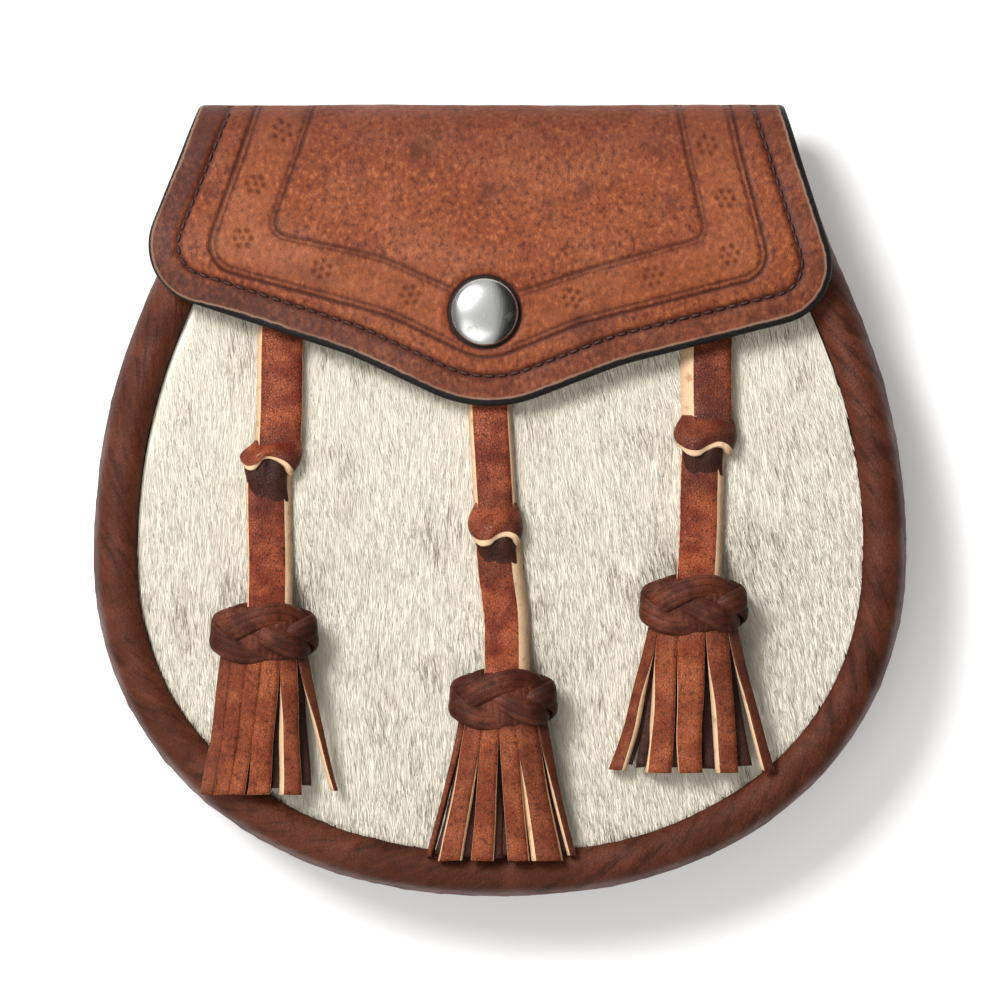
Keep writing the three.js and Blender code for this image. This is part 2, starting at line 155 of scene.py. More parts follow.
def unit(vectors: Array) -> Array:
    """Gives vectors, which are along the last axis, the length 1."""
    return vectors / np.linalg.norm(vectors, axis=-1, keepdims=True)


def round_turns(count: int) -> Array:
    """Gives evenly spaced angles of a full turn, the first at 0."""
    return np.linspace(0, 2 * math.pi, count, endpoint=False)


def distance_to_path(points: Array, path: Array) -> Array:
    """Measures how far points in a plane are from a path of straight pieces.

    Args:
        points: The points, two numbers a row.
        path: The path's points, two numbers a row.

    Returns:
        One distance for each point.
    """
    best = np.full(len(points), np.inf)
    for start, end in zip(path[:-1], path[1:]):
        run = end - start
        share = np.clip((points - start) @ run / max(float(run @ run), 1e-12), 0, 1)
        best = np.minimum(best, np.linalg.norm(points - start - share[:, None] * run, axis=1))
    return best


def ripple(points: Array, size: float, seed: int) -> Array:
    """Gives a soft, uneven rise and fall over space, for the slight waves of real leather.

    Args:
        points: Points, two or three numbers a row.
        size: The usual width of a wave.
        seed: Fixes the pattern.

    Returns:
        A number from about -1 to 1 for each point.
    """
    chance = np.random.default_rng(seed)
    total = np.zeros(len(points))
    for _ in range(7):
        direction = chance.normal(size=points.shape[1])
        direction /= np.linalg.norm(direction)
        wave = size * chance.uniform(0.6, 1.7)
        total += np.sin(points @ direction * (2 * math.pi / wave) + chance.uniform(0, 2 * math.pi))
    return total / 4


@dataclass(frozen=True)
class Corner:
    """A corner of a cut outline, with the radius that rounds it."""

    x: float
    y: float
    radius: float = 0.0


def rounded_path(corners: Sequence[Corner], steps: int = 20) -> Array:
    """Rounds the corners of a path.

    Args:
        corners: The path's corners, in order.
        steps: How many pieces each rounded corner gets.

    Returns:
        The points of the rounded path.
    """
    points: list[Array] = []
    for i, corner in enumerate(corners):
        at = np.array([corner.x, corner.y])
        if not corner.radius:
            points.append(at)
            continue
        before = np.array([corners[i - 1].x, corners[i - 1].y]) - at
        after = np.array([corners[i + 1].x, corners[i + 1].y]) - at
        before /= np.linalg.norm(before)
        after /= np.linalg.norm(after)
        half = math.acos(float(before @ after)) / 2
        middle = (before + after) / np.linalg.norm(before + after)
        centre = at + middle * corner.radius / math.sin(half)
        start = at + before * corner.radius / math.tan(half) - centre
        end = at + after * corner.radius / math.tan(half) - centre
        sweep = math.atan2(end[1], end[0]) - math.atan2(start[1], start[0])
        sweep = (sweep + math.pi) % (2 * math.pi) - math.pi
        for k in range(steps + 1):
            turn = sweep * k / steps
            spin = np.array([[math.cos(turn), -math.sin(turn)], [math.sin(turn), math.cos(turn)]])
            points.append(centre + spin @ start)
    return np.array(points)


# ---------------------------------------- meshes


@dataclass
class Form:
    """A mesh in the making: points in millimetres, faces, and what each face or point carries."""

    points: Array
    faces: list[tuple[int, ...]]
    slots: list[int]
    uv: Array | None = None
    values: dict[str, Array] = field(default_factory=dict)

    def joined(self, other: Form) -> Form:
        """Puts another form beside this one, as one mesh.

        Args:
            other: The form to add. It carries a UV map if this one does.

        Returns:
            The two as one form.
        """
        shift = len(self.points)
        return Form(
            points=np.vstack([self.points, other.points]),
            faces=self.faces + [tuple(i + shift for i in face) for face in other.faces],
            slots=self.slots + other.slots,
            uv=None if self.uv is None or other.uv is None else np.vstack([self.uv, other.uv]),
            values={k: np.concatenate([v, other.values[k]]) for k, v in self.values.items()}
        )


def join_forms(forms: Sequence[Form]) -> Form:
    """Puts several forms together as one mesh."""
    whole = forms[0]
    for form in forms[1:]:
        whole = whole.joined(form)
    return whole


def grid_faces(rows: int, columns: int, wrap: bool = False) -> list[tuple[int, ...]]:
    """Lists the four-sided faces of a grid of points.

    Args:
        rows: How many rows of points there are.
        columns: How many points a row holds.
        wrap: Whether the last point of a row joins the first.

    Returns:
        The faces, row by row.
    """
    i, j = np.meshgrid(np.arange(rows - 1), np.arange(columns if wrap else columns - 1), indexing="ij")
    following = (j + 1) % columns
    quads = np.stack(
        [i * columns + j, i * columns + following, (i + 1) * columns + following, (i + 1) * columns + j], axis=-1
    )
    return [tuple(q) for q in quads.reshape(-1, 4).tolist()]


def grid_border(rows: int, columns: int) -> list[tuple[int, int]]:
    """Lists the row and column of the points on a grid's border, once round."""
    down = [(0, j) for j in range(columns)] + [(i, columns - 1) for i in range(1, rows)]
    up = [(rows - 1, j) for j in range(columns - 2, -1, -1)] + [(i, 0) for i in range(rows - 2, 0, -1)]
    return down + up


def flat_map(down: Array, over: Array) -> Array:
    """Gives a grid's UV map, in millimetres along a path down it and a path over it."""
    return np.stack(np.meshgrid(lengths(down), lengths(over), indexing="ij"), axis=-1).reshape(-1, 2)


def tube_form(rings: Array, edge_slots: Sequence[int] | None = None, closed: bool = False) -> Form:
    """Joins rings of points into a solid.

    Args:
        rings: Points, with axes ring, place in the ring, and x, y, z.
        edge_slots: The material of each strip between two places in the ring.
        closed: Whether the last ring joins the first; otherwise the ends are capped.

    Returns:
        The solid, with a UV map of millimetres along it and round it.
    """
    count, around = rings.shape[:2]
    faces = grid_faces(count, around, wrap=True)
    per_ring = list(edge_slots) if edge_slots is not None else [0] * around
    slots = per_ring * (count - 1)
    if closed:
        last = (count - 1) * around
        faces += [(last + j, last + (j + 1) % around, (j + 1) % around, j) for j in range(around)]
        slots += per_ring
    else:
        faces += [tuple(range(around))[::-1], tuple(range((count - 1) * around, count * around))]
        slots += [max(per_ring)] * 2
    return Form(rings.reshape(-1, 3), faces, slots, flat_map(rings.mean(axis=1), rings[count // 2]))


def surface_normals(grid: Array) -> Array:
    """Gives the unit normal at each point of a grid surface, on the side from which its rows turn left."""
    across = np.gradient(grid, axis=1)
    down = np.gradient(grid, axis=0)
    normals = np.cross(across, down)
    return normals / np.maximum(np.linalg.norm(normals, axis=2, keepdims=True), 1e-9)


def slab_form(grid: Array, thickness: float, toward: Array = UP, soften: float = 0.22) -> Form:
    """Gives a grid surface a thickness, as cut leather has: grain above, pale at the cut edges.

    Args:
        grid: The upper surface, with axes row, column, and x, y, z.
        thickness: Of the leather.
        toward: The side that the upper surface faces.
        soften: How far the outermost points are rounded down.

    Returns:
        A closed form. Material 0 is the grain, 1 the cut edge and the underside.
    """
    normals = surface_normals(grid)
    if float((normals @ toward).mean()) < 0:
        normals = -normals
    rows, columns = grid.shape[:2]
    top = grid.copy()
    rim = np.zeros((rows, columns), bool)
    rim[0], rim[-1], rim[:, 0], rim[:, -1] = True, True, True, True
    top[rim] -= normals[rim] * soften
    under = grid - normals * thickness
    faces = grid_faces(rows, columns)
    slots = [0] * len(faces)
    shift = rows * columns
    under_faces = [tuple(i + shift for i in face)[::-1] for face in faces]
    border = [i * columns + j for i, j in grid_border(rows, columns)]
    walls = [(a, a + shift, b + shift, b) for a, b in zip(border, border[1:] + border[:1])]
    uv = flat_map(grid[:, columns // 2], grid[rows // 2])
    return Form(
        np.vstack([top.reshape(-1, 3), under.reshape(-1, 3)]), faces + under_faces + walls,
        slots + [1] * (len(under_faces) + len(walls)), np.vstack([uv, uv])
    )


def put(name: str, data: Any) -> Object:
    """Makes an object of a mesh, light or camera and puts it in the scene."""
    made = bpy.data.objects.new(name, data)
    bpy.context.scene.collection.objects.link(made)
    return made


def store(mesh: bpy.types.Mesh, name: str, values: Array) -> None:
    """Stores a number or a vector for each point of a mesh."""
    kind, key = ("FLOAT", "value") if values.ndim == 1 else ("FLOAT_VECTOR", "vector")
    mesh.attributes.new(name, kind, "POINT").data.foreach_set(key, values.astype(np.float32).ravel())


def make_object(name: str, form: Form, materials: Sequence[Material]) -> Object:
    """Makes a mesh object of a form, with its faces turned outwards.

    Args:
        name: The object's name.
        form: The mesh, in millimetres.
        materials: One for each material number that the form's faces use.

    Returns:
        The object, at the origin and in the scene.
    """
    mesh = bpy.data.meshes.new(name)
    mesh.from_pydata((form.points * MM).tolist(), [], form.faces)
    mesh.polygons.foreach_set("material_index", np.array(form.slots, np.int32))
    for material in materials:
        mesh.materials.append(material)
    for key, value in form.values.items():
        store(mesh, key, value)
    if form.uv is not None:
        corner_points = np.zeros(len(mesh.loops), np.int32)
        mesh.loops.foreach_get("vertex_index", corner_points)
        layer = mesh.uv_layers.new(name="leather")
        layer.data.foreach_set("uv", (form.uv[corner_points] * 0.1).astype(np.float32).ravel())
    work = bmesh.new()
    work.from_mesh(mesh)
    bmesh.ops.recalc_face_normals(work, faces=work.faces)
    work.to_mesh(mesh)
    work.free()
    mesh.polygons.foreach_set("use_smooth", np.ones(len(mesh.polygons), bool))
    return put(name, mesh)


def hand_over(piece: Object, slot: Slot, *nodes: str) -> None:
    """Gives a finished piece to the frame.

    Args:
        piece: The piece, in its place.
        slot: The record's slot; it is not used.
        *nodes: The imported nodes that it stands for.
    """
    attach(piece, ROOT)
    if nodes:
        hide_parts(*nodes)
    LOG.info("%s: %d faces", piece.name, len(piece.data.polygons))


# ---------------------------------------- node trees


class NodeBench:
    """Lays nodes in a tree and wires them."""

    def __init__(self, tree: NodeTree) -> None:
        """Starts on a tree."""
        self.tree = tree

    def add(self, kind: str, inputs: dict[Any, Any] | None = None, **settings: Any) -> Node:
        """Adds a node.

        Args:
            kind: The node's type name.
            inputs: Its sockets by name or number, each with a value or with the socket that feeds it.
            **settings: The node's own properties.

        Returns:
            The node.
        """
        node = self.tree.nodes.new(kind)
        for key, value in settings.items():
            setattr(node, key, value)
        self.feed(node, inputs or {})
        return node

    def feed(self, node: Node, inputs: dict[Any, Any]) -> None:
        """Sets a node's sockets, each to a value or to the socket that feeds it."""
        for key, value in inputs.items():
            if isinstance(value, Socket):
                self.tree.links.new(value, node.inputs[key])
            else:
                node.inputs[key].default_value = value

    def math(self, operation: str, first: Any, second: Any = 0.0) -> Socket:
        """Adds a sum on numbers and gives its result."""
        return self.add("ShaderNodeMath", {0: first, 1: second}, operation=operation).outputs[0]

    def vector(self, operation: str, inputs: dict[Any, Any]) -> Socket:
        """Adds a sum on vectors and gives its result."""
        return self.add("ShaderNodeVectorMath", inputs, operation=operation).outputs[0]

    def times(self, first: Any, second: Any) -> Socket:
        """Multiplies two numbers."""
        return self.math("MULTIPLY", first, second)

    def part(self, vector: Any, axis: int) -> Socket:
        """Gives one number of a vector."""
        return self.add("ShaderNodeSeparateXYZ", {0: vector}).outputs[axis]

    def relief(self, height: Any, strength: float = 1.0) -> Socket:
        """Turns a height in millimetres into a normal."""
        return self.add("ShaderNodeBump", {"Height": height, "Distance": MM, "Strength": strength}).outputs[0]

    def span(self, value: Any, low: float, high: float, to_low: float = 0.0, to_high: float = 1.0) -> Socket:
        """Maps a range of numbers smoothly to another and gives the result."""
        inputs = {"Value": value, "From Min": low, "From Max": high, "To Min": to_low, "To Max": to_high}
        return self.add("ShaderNodeMapRange", inputs, interpolation_type="SMOOTHSTEP").outputs["Result"]

    def blend(self, share: Any, first: Any, second: Any) -> Socket:
        """Mixes two colours and gives the result."""
        inputs = {0: share, 6: first, 7: second}
        return self.add("ShaderNodeMix", inputs, data_type="RGBA").outputs[2]

    def noise(self, vector: Any, scale: float, detail: float = 3.0, roughness: float = 0.55) -> Socket:
        """Adds a noise and gives its number."""
        inputs = {"Vector": vector, "Scale": scale, "Detail": detail, "Roughness": roughness}
        return self.add("ShaderNodeTexNoise", inputs).outputs[0]

    def value_of(self, name: str) -> Socket:
        """Reads a number stored on the mesh."""
        return self.add("ShaderNodeAttribute", attribute_name=name, attribute_type="GEOMETRY").outputs["Fac"]

    def stretched(self, vector: Any, scale: tuple[float, float, float]) -> Socket:
        """Stretches coordinates and gives them."""
        return self.add("ShaderNodeMapping", {"Vector": vector, "Scale": scale}).outputs[0]


def shader_group(name: str, inputs: dict[str, tuple[str, Any]], outputs: Sequence[str]) -> tuple[Any, Any, Any]:
    """Starts a shader node group.

    Args:
        name: The group's name.
        inputs: Each input's socket type and first value.
        outputs: The names of its outputs, which are numbers.

    Returns:
        A bench on the group, its inputs' sockets, and its output node.
    """
    tree = bpy.data.node_groups.new(name, "ShaderNodeTree")
    for key, (kind, value) in inputs.items():
        socket = tree.interface.new_socket(key, in_out="INPUT", socket_type=kind)
        if value is not None:
            socket.default_value = value
    for key in outputs:
        tree.interface.new_socket(key, in_out="OUTPUT", socket_type="NodeSocketFloat")
    return NodeBench(tree), tree.nodes.new("NodeGroupInput").outputs, tree.nodes.new("NodeGroupOutput")


class Effects:
    """The shader node groups that the finishes share. Each is built once."""

    def __init__(self) -> None:
        """Builds the groups."""
        self.grain = self._grain()
        self.mottle = self._mottle()

    @staticmethod
    def _grain() -> NodeTree:
        """Builds leather grain: rounded cells with creases between them, and fine pores."""
        bench, given, result = shader_group(
            "leather_grain",
            {
                "Vector": ("NodeSocketVector", None),
                "Cell mm": ("NodeSocketFloat", 0.8),
                "Depth mm": ("NodeSocketFloat", 0.05),
            },
            ["Height", "Crease"],
        )
        scale = bench.math("DIVIDE", 1000.0, given["Cell mm"])
        warp = bench.add("ShaderNodeTexNoise", {"Vector": given["Vector"], "Scale": 900.0, "Detail": 2.0})
        push = bench.vector("SCALE", {0: warp.outputs[1], "Scale": 0.0007})
        place = bench.vector("ADD", {0: given["Vector"], 1: push})
        cell = {"Vector": place, "Scale": scale, "Randomness": 0.9}
        edges = bench.add("ShaderNodeTexVoronoi", cell, feature="DISTANCE_TO_EDGE")
        crease = bench.span(edges.outputs["Distance"], 0.0, 0.22, 1.0, 0.0)
        pores = bench.noise(given["Vector"], 3800.0, 2.0)
        rise = bench.math("SUBTRACT", bench.times(pores, 0.5), crease)
        height = bench.times(rise, given["Depth mm"])
        bench.feed(result, {"Height": height, "Crease": crease})
        return bench.tree

    @staticmethod
    def _mottle() -> NodeTree:
        """Builds mottling: broad patches, and small specks within them."""
        bench, given, result = shader_group(
            "leather_mottle",
            {
                "Vector": ("NodeSocketVector", None),
                "Patch mm": ("NodeSocketFloat", 20.0),
                "Speck mm": ("NodeSocketFloat", 1.2),
            },
            ["Patches", "Specks"],
        )
        patch_scale = bench.math("DIVIDE", 1000.0, given["Patch mm"])
        speck_scale = bench.math("DIVIDE", 1000.0, given["Speck mm"])
        vector = given["Vector"]
        broad = bench.add("ShaderNodeTexNoise", {"Vector": vector, "Scale": patch_scale, "Detail": 4.0})
        small = bench.add("ShaderNodeTexNoise", {"Vector": vector, "Scale": speck_scale, "Detail": 3.0})
        patches, specks = bench.span(broad.outputs[0], 0.36, 0.66), bench.span(small.outputs[0], 0.52, 0.68)
        bench.feed(result, {"Patches": patches, "Specks": specks})
        return bench.tree


def geometry_group(name: str, inputs: dict[str, str]) -> tuple[NodeTree, NodeBench, Any]:
    """Starts a geometry node tree.

    Args:
        name: The tree's name.
        inputs: Its inputs after the geometry, each with its kind.

    Returns:
        The tree, a bench on it, and its inputs' sockets.
    """
    tree = bpy.data.node_groups.new(name, "GeometryNodeTree")
    for key, kind in {"Geometry": "Geometry", **inputs}.items():
        tree.interface.new_socket(key, in_out="INPUT", socket_type=f"NodeSocket{kind}")
    tree.interface.new_socket("Geometry", in_out="OUTPUT", socket_type="NodeSocketGeometry")
    bench = NodeBench(tree)
    return tree, bench, bench.add("NodeGroupInput").outputs


def finish_group(bench: NodeBench, laid: Socket, material: Socket) -> None:
    """Ends a geometry node tree: instances are made real and given their material."""
    real = bench.add("GeometryNodeRealizeInstances", {"Geometry": laid})
    dressed = bench.add("GeometryNodeSetMaterial", {"Geometry": real.outputs[0], "Material": material})
    bench.add("NodeGroupOutput", {0: dressed.outputs[0]})


def new_material(name: str) -> tuple[Material, NodeBench, Node, Socket]:
    """Starts a material.

    Args:
        name: The material's name.

    Returns:
        The material, a bench on its nodes, its shader, and its object coordinates.
    """
    material = bpy.data.materials.new(name)
    material.use_nodes = True
    bench = NodeBench(material.node_tree)
    shader = next(n for n in material.node_tree.nodes if n.type == "BSDF_PRINCIPLED")
    place = bench.add("ShaderNodeTexCoord").outputs["Object"]
    return material, bench, shader, place


@dataclass(frozen=True)
class LeatherFinish:
    """A dressed leather."""

    name: str
    base: Colour
    deep: Colour
    light: Colour
    cell_mm: float = 0.8
    depth_mm: float = 0.05
    patch_mm: float = 20.0
    speck_mm: float = 1.2
    speck_share: float = 0.4
    crease_share: float = 0.25
    roughness: float = 0.5
    sheen_from_light: float = 0.35
    lines_mm: float = 0.0
    wrinkle_mm: float = 0.0
    shine: float = 0.25

    def build(self, effects: Effects) -> Material:
        """Makes the material.

        Args:
            effects: The shared node groups.

        Returns:
            The material.
        """
        material, bench, shader, place = new_material(self.name)
        colour, height, patches = self.ground(bench, effects, place)
        self.settle(bench, shader, colour, height, patches)
        return material

    def ground(self, bench: NodeBench, effects: Effects, place: Socket) -> tuple[Socket, Socket, Socket]:
        """Lays the leather's mottled colour and its grain.

        Args:
            bench: The material's nodes.
            effects: The shared node groups.
            place: The coordinates to lay them on.

        Returns:
            The colour, the height of the grain in millimetres, and the broad patches.
        """
        patching = {"Vector": place, "Patch mm": self.patch_mm, "Speck mm": self.speck_mm}
        graining = {"Vector": place, "Cell mm": self.cell_mm, "Depth mm": self.depth_mm}
        mottle = bench.add("ShaderNodeGroup", patching, node_tree=effects.mottle)
        grain = bench.add("ShaderNodeGroup", graining, node_tree=effects.grain)
        patches = mottle.outputs["Patches"]
        colour = bench.blend(bench.times(patches, self.sheen_from_light), self.base, self.light)
        specks = bench.times(mottle.outputs["Specks"], self.speck_share)
        colour = bench.blend(specks, colour, self.deep)
        # Painted shade: the grain's creases are darkened.
        creases = bench.times(grain.outputs["Crease"], self.crease_share)
        colour = bench.blend(creases, colour, self.deep)
        # Painted shade: this number from the mesh darkens the leather where shade falls on it; on the fringe strips
        # it also holds a random tone.
        colour = bench.blend(bench.times(bench.value_of("painted_shade_and_tone"), 0.9), colour, self.deep)
        height = grain.outputs["Height"]
        mapped = bench.add("ShaderNodeUVMap", uv_map="leather").outputs[0]
        if self.lines_mm:
            across = bench.part(mapped, 1)
            wave = bench.math("SINE", bench.times(across, 20 * math.pi / self.lines_mm))
            height = bench.math("ADD", height, bench.times(wave, 0.05))
            # Painted shade: darker in the troughs of the lines.
            colour = bench.blend(bench.span(wave, -0.4, -1.0, 0.0, 0.35), colour, self.deep)
        if self.wrinkle_mm:
            turned = {"Vector": mapped, "Rotation": (0.0, 0.0, 0.55), "Scale": (5.0, 1.0, 1.0)}
            slanted = bench.add("ShaderNodeMapping", turned, vector_type="TEXTURE").outputs[0]
            fold = bench.noise(slanted, 10.0 / self.wrinkle_mm, 3.0)
            height = bench.math("ADD", height, bench.times(fold, 0.5))
            # Painted shade and painted highlight: the wrinkles are darker in their troughs and lighter on their
            # crests.
            colour = bench.blend(bench.span(fold, 0.48, 0.34, 0.0, 0.55), colour, self.deep)
            colour = bench.blend(bench.span(fold, 0.56, 0.7, 0.0, 0.4), colour, self.light)
        return colour, height, patches

    def settle(self, bench: NodeBench, shader: Node, colour: Socket, height: Socket, patches: Socket) -> None:
        """Feeds the shader.

        Args:
            bench: The material's nodes.
            shader: Its Principled BSDF.
            colour: The finished colour.
            height: The relief in millimetres.
            patches: The broad patches, which vary the polish.
        """
        polish = bench.span(patches, 0, 1, self.roughness + 0.08, self.roughness - 0.06)
        feeds = {"Base Color": colour, "Roughness": polish, "Normal": bench.relief(height, 0.9)}
        bench.feed(shader, {**feeds, "Specular IOR Level": self.shine})


@dataclass(frozen=True)
class TooledFinish(LeatherFinish):
    """Tooled leather: stain gathers in what is pressed, the cut edge is painted black with a pale line inside that is
    partly wear and partly a painted highlight on its rounded shoulder, and painted shade darkens it towards the
    fold's top.
    """

    stain: Colour = srgb(56, 14, 5)
    smoke: Colour = srgb(66, 33, 26)
    paint: Colour = srgb(14, 10, 9)
    edge_highlight_and_wear: Colour = srgb(138, 106, 86)
    burnish_mm: float = 6.2

    def build(self, effects: Effects) -> Material:
        """Makes the material. The mesh carries the numbers edge_mm, stain and band."""
        material, bench, shader, place = new_material(self.name)
        colour, height, patches = self.ground(bench, effects, place)
        drawn = bench.stretched(place, (1.0, 0.7, 1.0))
        fibre = bench.noise(drawn, 900.0, 3.0, 0.65)
        colour = bench.blend(bench.span(fibre, 0.5, 0.32, 0.0, 0.85), colour, self.deep)
        colour = bench.blend(bench.span(fibre, 0.52, 0.68, 0.0, 1.0), colour, self.light)
        blot = bench.noise(bench.stretched(place, (1.0, 0.7, 1.0)), 95.0, 4.0, 0.6)
        colour = bench.blend(bench.span(blot, 0.54, 0.72, 0.0, 0.8), colour, self.deep)
        edge = bench.value_of("edge_mm")
        band = bench.value_of("band")
        colour = bench.blend(bench.times(band, 0.25), colour, self.light)
        side = bench.part(place, 0)
        smoke = bench.span(side, -0.06, 0.01, 0.95, 0.42)
        patchy = bench.times(smoke, bench.span(fibre, 0.35, 0.6, 1.0, 0.7))
        burnish = bench.times(bench.span(edge, self.burnish_mm, self.burnish_mm - 1.4), patchy)
        colour = bench.blend(burnish, colour, self.smoke)
        # Painted shade: the leather darkens towards the top of the fold.
        height_up = bench.part(place, 1)
        colour = bench.blend(bench.span(height_up, 0.07, 0.088, 0.0, 0.5), colour, self.deep)
        gathered = bench.value_of("stain")
        colour = bench.blend(bench.times(gathered, 0.95), colour, self.stain)
        # Stain above 1 is painted black: the painted shadow round the snap.
        colour = bench.blend(bench.span(gathered, 1.1, 1.7), colour, self.paint)
        # The pale line inside the black edge is partly wear and partly a painted highlight on the edge's rounded
        # shoulder.
        uneven = bench.noise(place, 520.0, 4.0, 0.65)
        near = bench.math("ADD", edge, bench.times(uneven, 0.7))
        edge_highlight_and_wear = bench.times(bench.span(near, 1.6, 1.25), bench.span(blot, 0.3, 0.6, 0.35, 0.85))
        colour = bench.blend(edge_highlight_and_wear, colour, self.edge_highlight_and_wear)
        colour = bench.blend(bench.span(near, 1.05, 0.85), colour, self.paint)
        self.settle(bench, shader, colour, height, patches)
        return material


@dataclass(frozen=True)
class CutFinish:
    """The pale cut edge and underside of a leather strip."""

    name: str
    pale: Colour
    brown: Colour

    def build(self) -> Material:
        """Makes the material: fibres, and dye that has crept over the edge."""
        material, bench, shader, place = new_material(self.name)
        fibres = bench.noise(place, 2600.0, 4.0, 0.7)
        crept = bench.span(bench.noise(place, 420.0, 3.0), 0.55, 0.75, 0.0, 0.55)
        colour = bench.blend(crept, self.pale, self.brown)
        colour = bench.blend(bench.span(fibres, 0.5, 0.8, 0.0, 0.35), colour, self.brown)
        relief = bench.relief(bench.times(fibres, 0.15))
        bench.feed(shader, {"Base Color": colour, "Normal": relief, "Roughness": 0.85})
        return material


@dataclass(frozen=True)
class HairFinish:
    """Short hair: cream, with greyer strands in streaks."""

    name: str
    cream: Colour
    shade: Colour
    dark: Colour
    root: float = 0.0

    def build(self) -> Material:
        """Makes the material. A strand's mesh carries the number strand_tone, which is 0 elsewhere."""
        material, bench, shader, place = new_material(self.name)
        tone = bench.value_of("strand_tone")
        wide = bench.noise(bench.stretched(place, (1.0, 0.5, 1.0)), 105.0, 3.0)
        narrow = bench.noise(bench.stretched(place, (1.0, 0.12, 1.0)), 900.0, 2.0)
        shaded = bench.span(bench.math("ADD", narrow, bench.times(wide, 0.6)), 0.8, 1.05)
        colour = bench.blend(bench.times(shaded, 0.75), self.cream, self.shade)
        patch = bench.span(wide, 0.48, 0.66, -0.2, 0.1)
        lean = bench.math("ADD", tone, patch)
        colour = bench.blend(bench.span(lean, 0.86, 1.0, 0.0, 0.85), colour, self.dark)
        if self.root:
            colour = bench.blend(self.root, colour, self.shade)
        own = bench.vector("SCALE", {0: bench.add("ShaderNodeNewGeometry").outputs["Normal"], "Scale": 0.4})
        even = bench.vector("NORMALIZE", {0: bench.vector("ADD", {0: own, 1: (0.0, 0.0, 0.6)})})
        bench.feed(shader, {"Base Color": colour, "Normal": even, "Roughness": 0.62, "Specular IOR Level": 0.2})
        return material


@dataclass(frozen=True)
class MetalFinish:
    """Satin nickel plate."""

    name: str
    colour: Colour
    tarnish: Colour
    roughness: float

    def build(self) -> Material:
        """Makes the material: a fine brushed dome, duller in spots."""
        material, bench, shader, place = new_material(self.name)
        spots = bench.span(bench.noise(place, 330.0, 4.0), 0.52, 0.8)
        colour = bench.blend(bench.times(spots, 0.5), self.colour, self.tarnish)
        rough = bench.span(spots, 0, 1, self.roughness, self.roughness + 0.16)
        scratches = bench.noise(bench.stretched(place, (1.0, 0.08, 1.0)), 3000.0, 2.0)
        relief = bench.relief(bench.times(scratches, 0.012))
        bench.feed(shader, {"Base Color": colour, "Roughness": rough, "Normal": relief, "Metallic": 1.0})
        return material


@dataclass(frozen=True)
class ThreadFinish:
    """Waxed linen thread."""

    name: str
    colour: Colour
    light: Colour

    def build(self) -> Material:
        """Makes the material: two plies show as slanting bands."""
        material, bench, shader, place = new_material(self.name)
        plies = bench.noise(place, 4200.0, 1.0)
        colour = bench.blend(bench.span(plies, 0.45, 0.7), self.colour, self.light)
        relief = bench.relief(bench.times(plies, 0.08))
        bench.feed(shader, {"Base Color": colour, "Normal": relief, "Roughness": 0.55})
        return material


class Palette:
    """Every finish of the sporran, built once."""

    def __init__(self) -> None:
        """Builds the materials."""
        effects = Effects()
        self.tooled = TooledFinish(
            "tooled_tan_leather", base=srgb(131, 62, 32), deep=srgb(80, 33, 18), light=srgb(158, 88, 50),
            cell_mm=0.55, depth_mm=0.04, patch_mm=16.0, speck_mm=2.4, speck_share=0.25, roughness=0.55
        ).build(effects)
        self.suede = LeatherFinish(
            "flesh_side_of_the_flap", base=srgb(132, 88, 62), deep=srgb(94, 58, 40), light=srgb(156, 112, 84),
            cell_mm=0.4, depth_mm=0.06, roughness=0.85
        ).build(effects)
        self.rim = LeatherFinish(
            "rolled_rim_leather", base=srgb(78, 37, 22), deep=srgb(32, 14, 8), light=srgb(108, 56, 37), cell_mm=0.9,
            depth_mm=0.06, wrinkle_mm=2.6, shine=0.15, patch_mm=14.0, speck_mm=2.2, speck_share=0.3, roughness=0.55,
            sheen_from_light=0.5
        ).build(effects)
        self.strap = LeatherFinish(
            "pebbled_strap_leather", base=srgb(124, 48, 23), deep=srgb(50, 16, 9), light=srgb(186, 96, 58),
            cell_mm=0.6, depth_mm=0.1, patch_mm=6.0, speck_mm=0.55, speck_share=0.8, crease_share=0.45,
            roughness=0.42, sheen_from_light=0.8
        ).build(effects)
        self.fringe = LeatherFinish(
            "fringe_leather", base=srgb(138, 62, 31), deep=srgb(56, 20, 11), light=srgb(184, 100, 60), cell_mm=0.6,
            depth_mm=0.08, patch_mm=6.0, speck_mm=0.9, speck_share=0.6, crease_share=0.5, roughness=0.5,
            sheen_from_light=0.7
        ).build(effects)
        self.braid = LeatherFinish(
            "dark_braid_leather", base=srgb(72, 31, 17), deep=srgb(23, 9, 6), light=srgb(118, 62, 42), cell_mm=0.6,
            depth_mm=0.05, patch_mm=5.0, speck_mm=1.2, speck_share=0.35, roughness=0.45, sheen_from_light=0.8,
            lines_mm=1.6, shine=0.15
        ).build(effects)
        # A darker copy of the leather that stands in for shade: the funnel under each knot and the back layer of each
        # fringe are drawn in it.
        self.fold = LeatherFinish(
            "leather_in_painted_shade", base=srgb(58, 24, 14), deep=srgb(24, 10, 7), light=srgb(86, 40, 24),
            cell_mm=0.7, depth_mm=0.08, patch_mm=5.0, speck_share=0.4
        ).build(effects)
        self.cut = CutFinish("pale_cut_edge", pale=srgb(224, 188, 150), brown=srgb(150, 92, 62)).build()
        self.hair = HairFinish(
            "cream_hair", cream=srgb(238, 230, 213), shade=srgb(216, 205, 187), dark=srgb(140, 122, 104)
        ).build()
        self.skin = HairFinish(
            "hair_at_the_roots", cream=srgb(244, 236, 220), shade=srgb(222, 212, 194), dark=srgb(150, 136, 118),
            root=0.2
        ).build()
        self.nickel = MetalFinish(
            "satin_nickel", colour=srgb(194, 195, 194), tarnish=srgb(140, 136, 128), roughness=0.24
        ).build()
        self.thread = ThreadFinish("dark_waxed_thread", colour=srgb(38, 13, 8), light=srgb(72, 30, 18)).build()


# ---------------------------------------- the pouch's own form


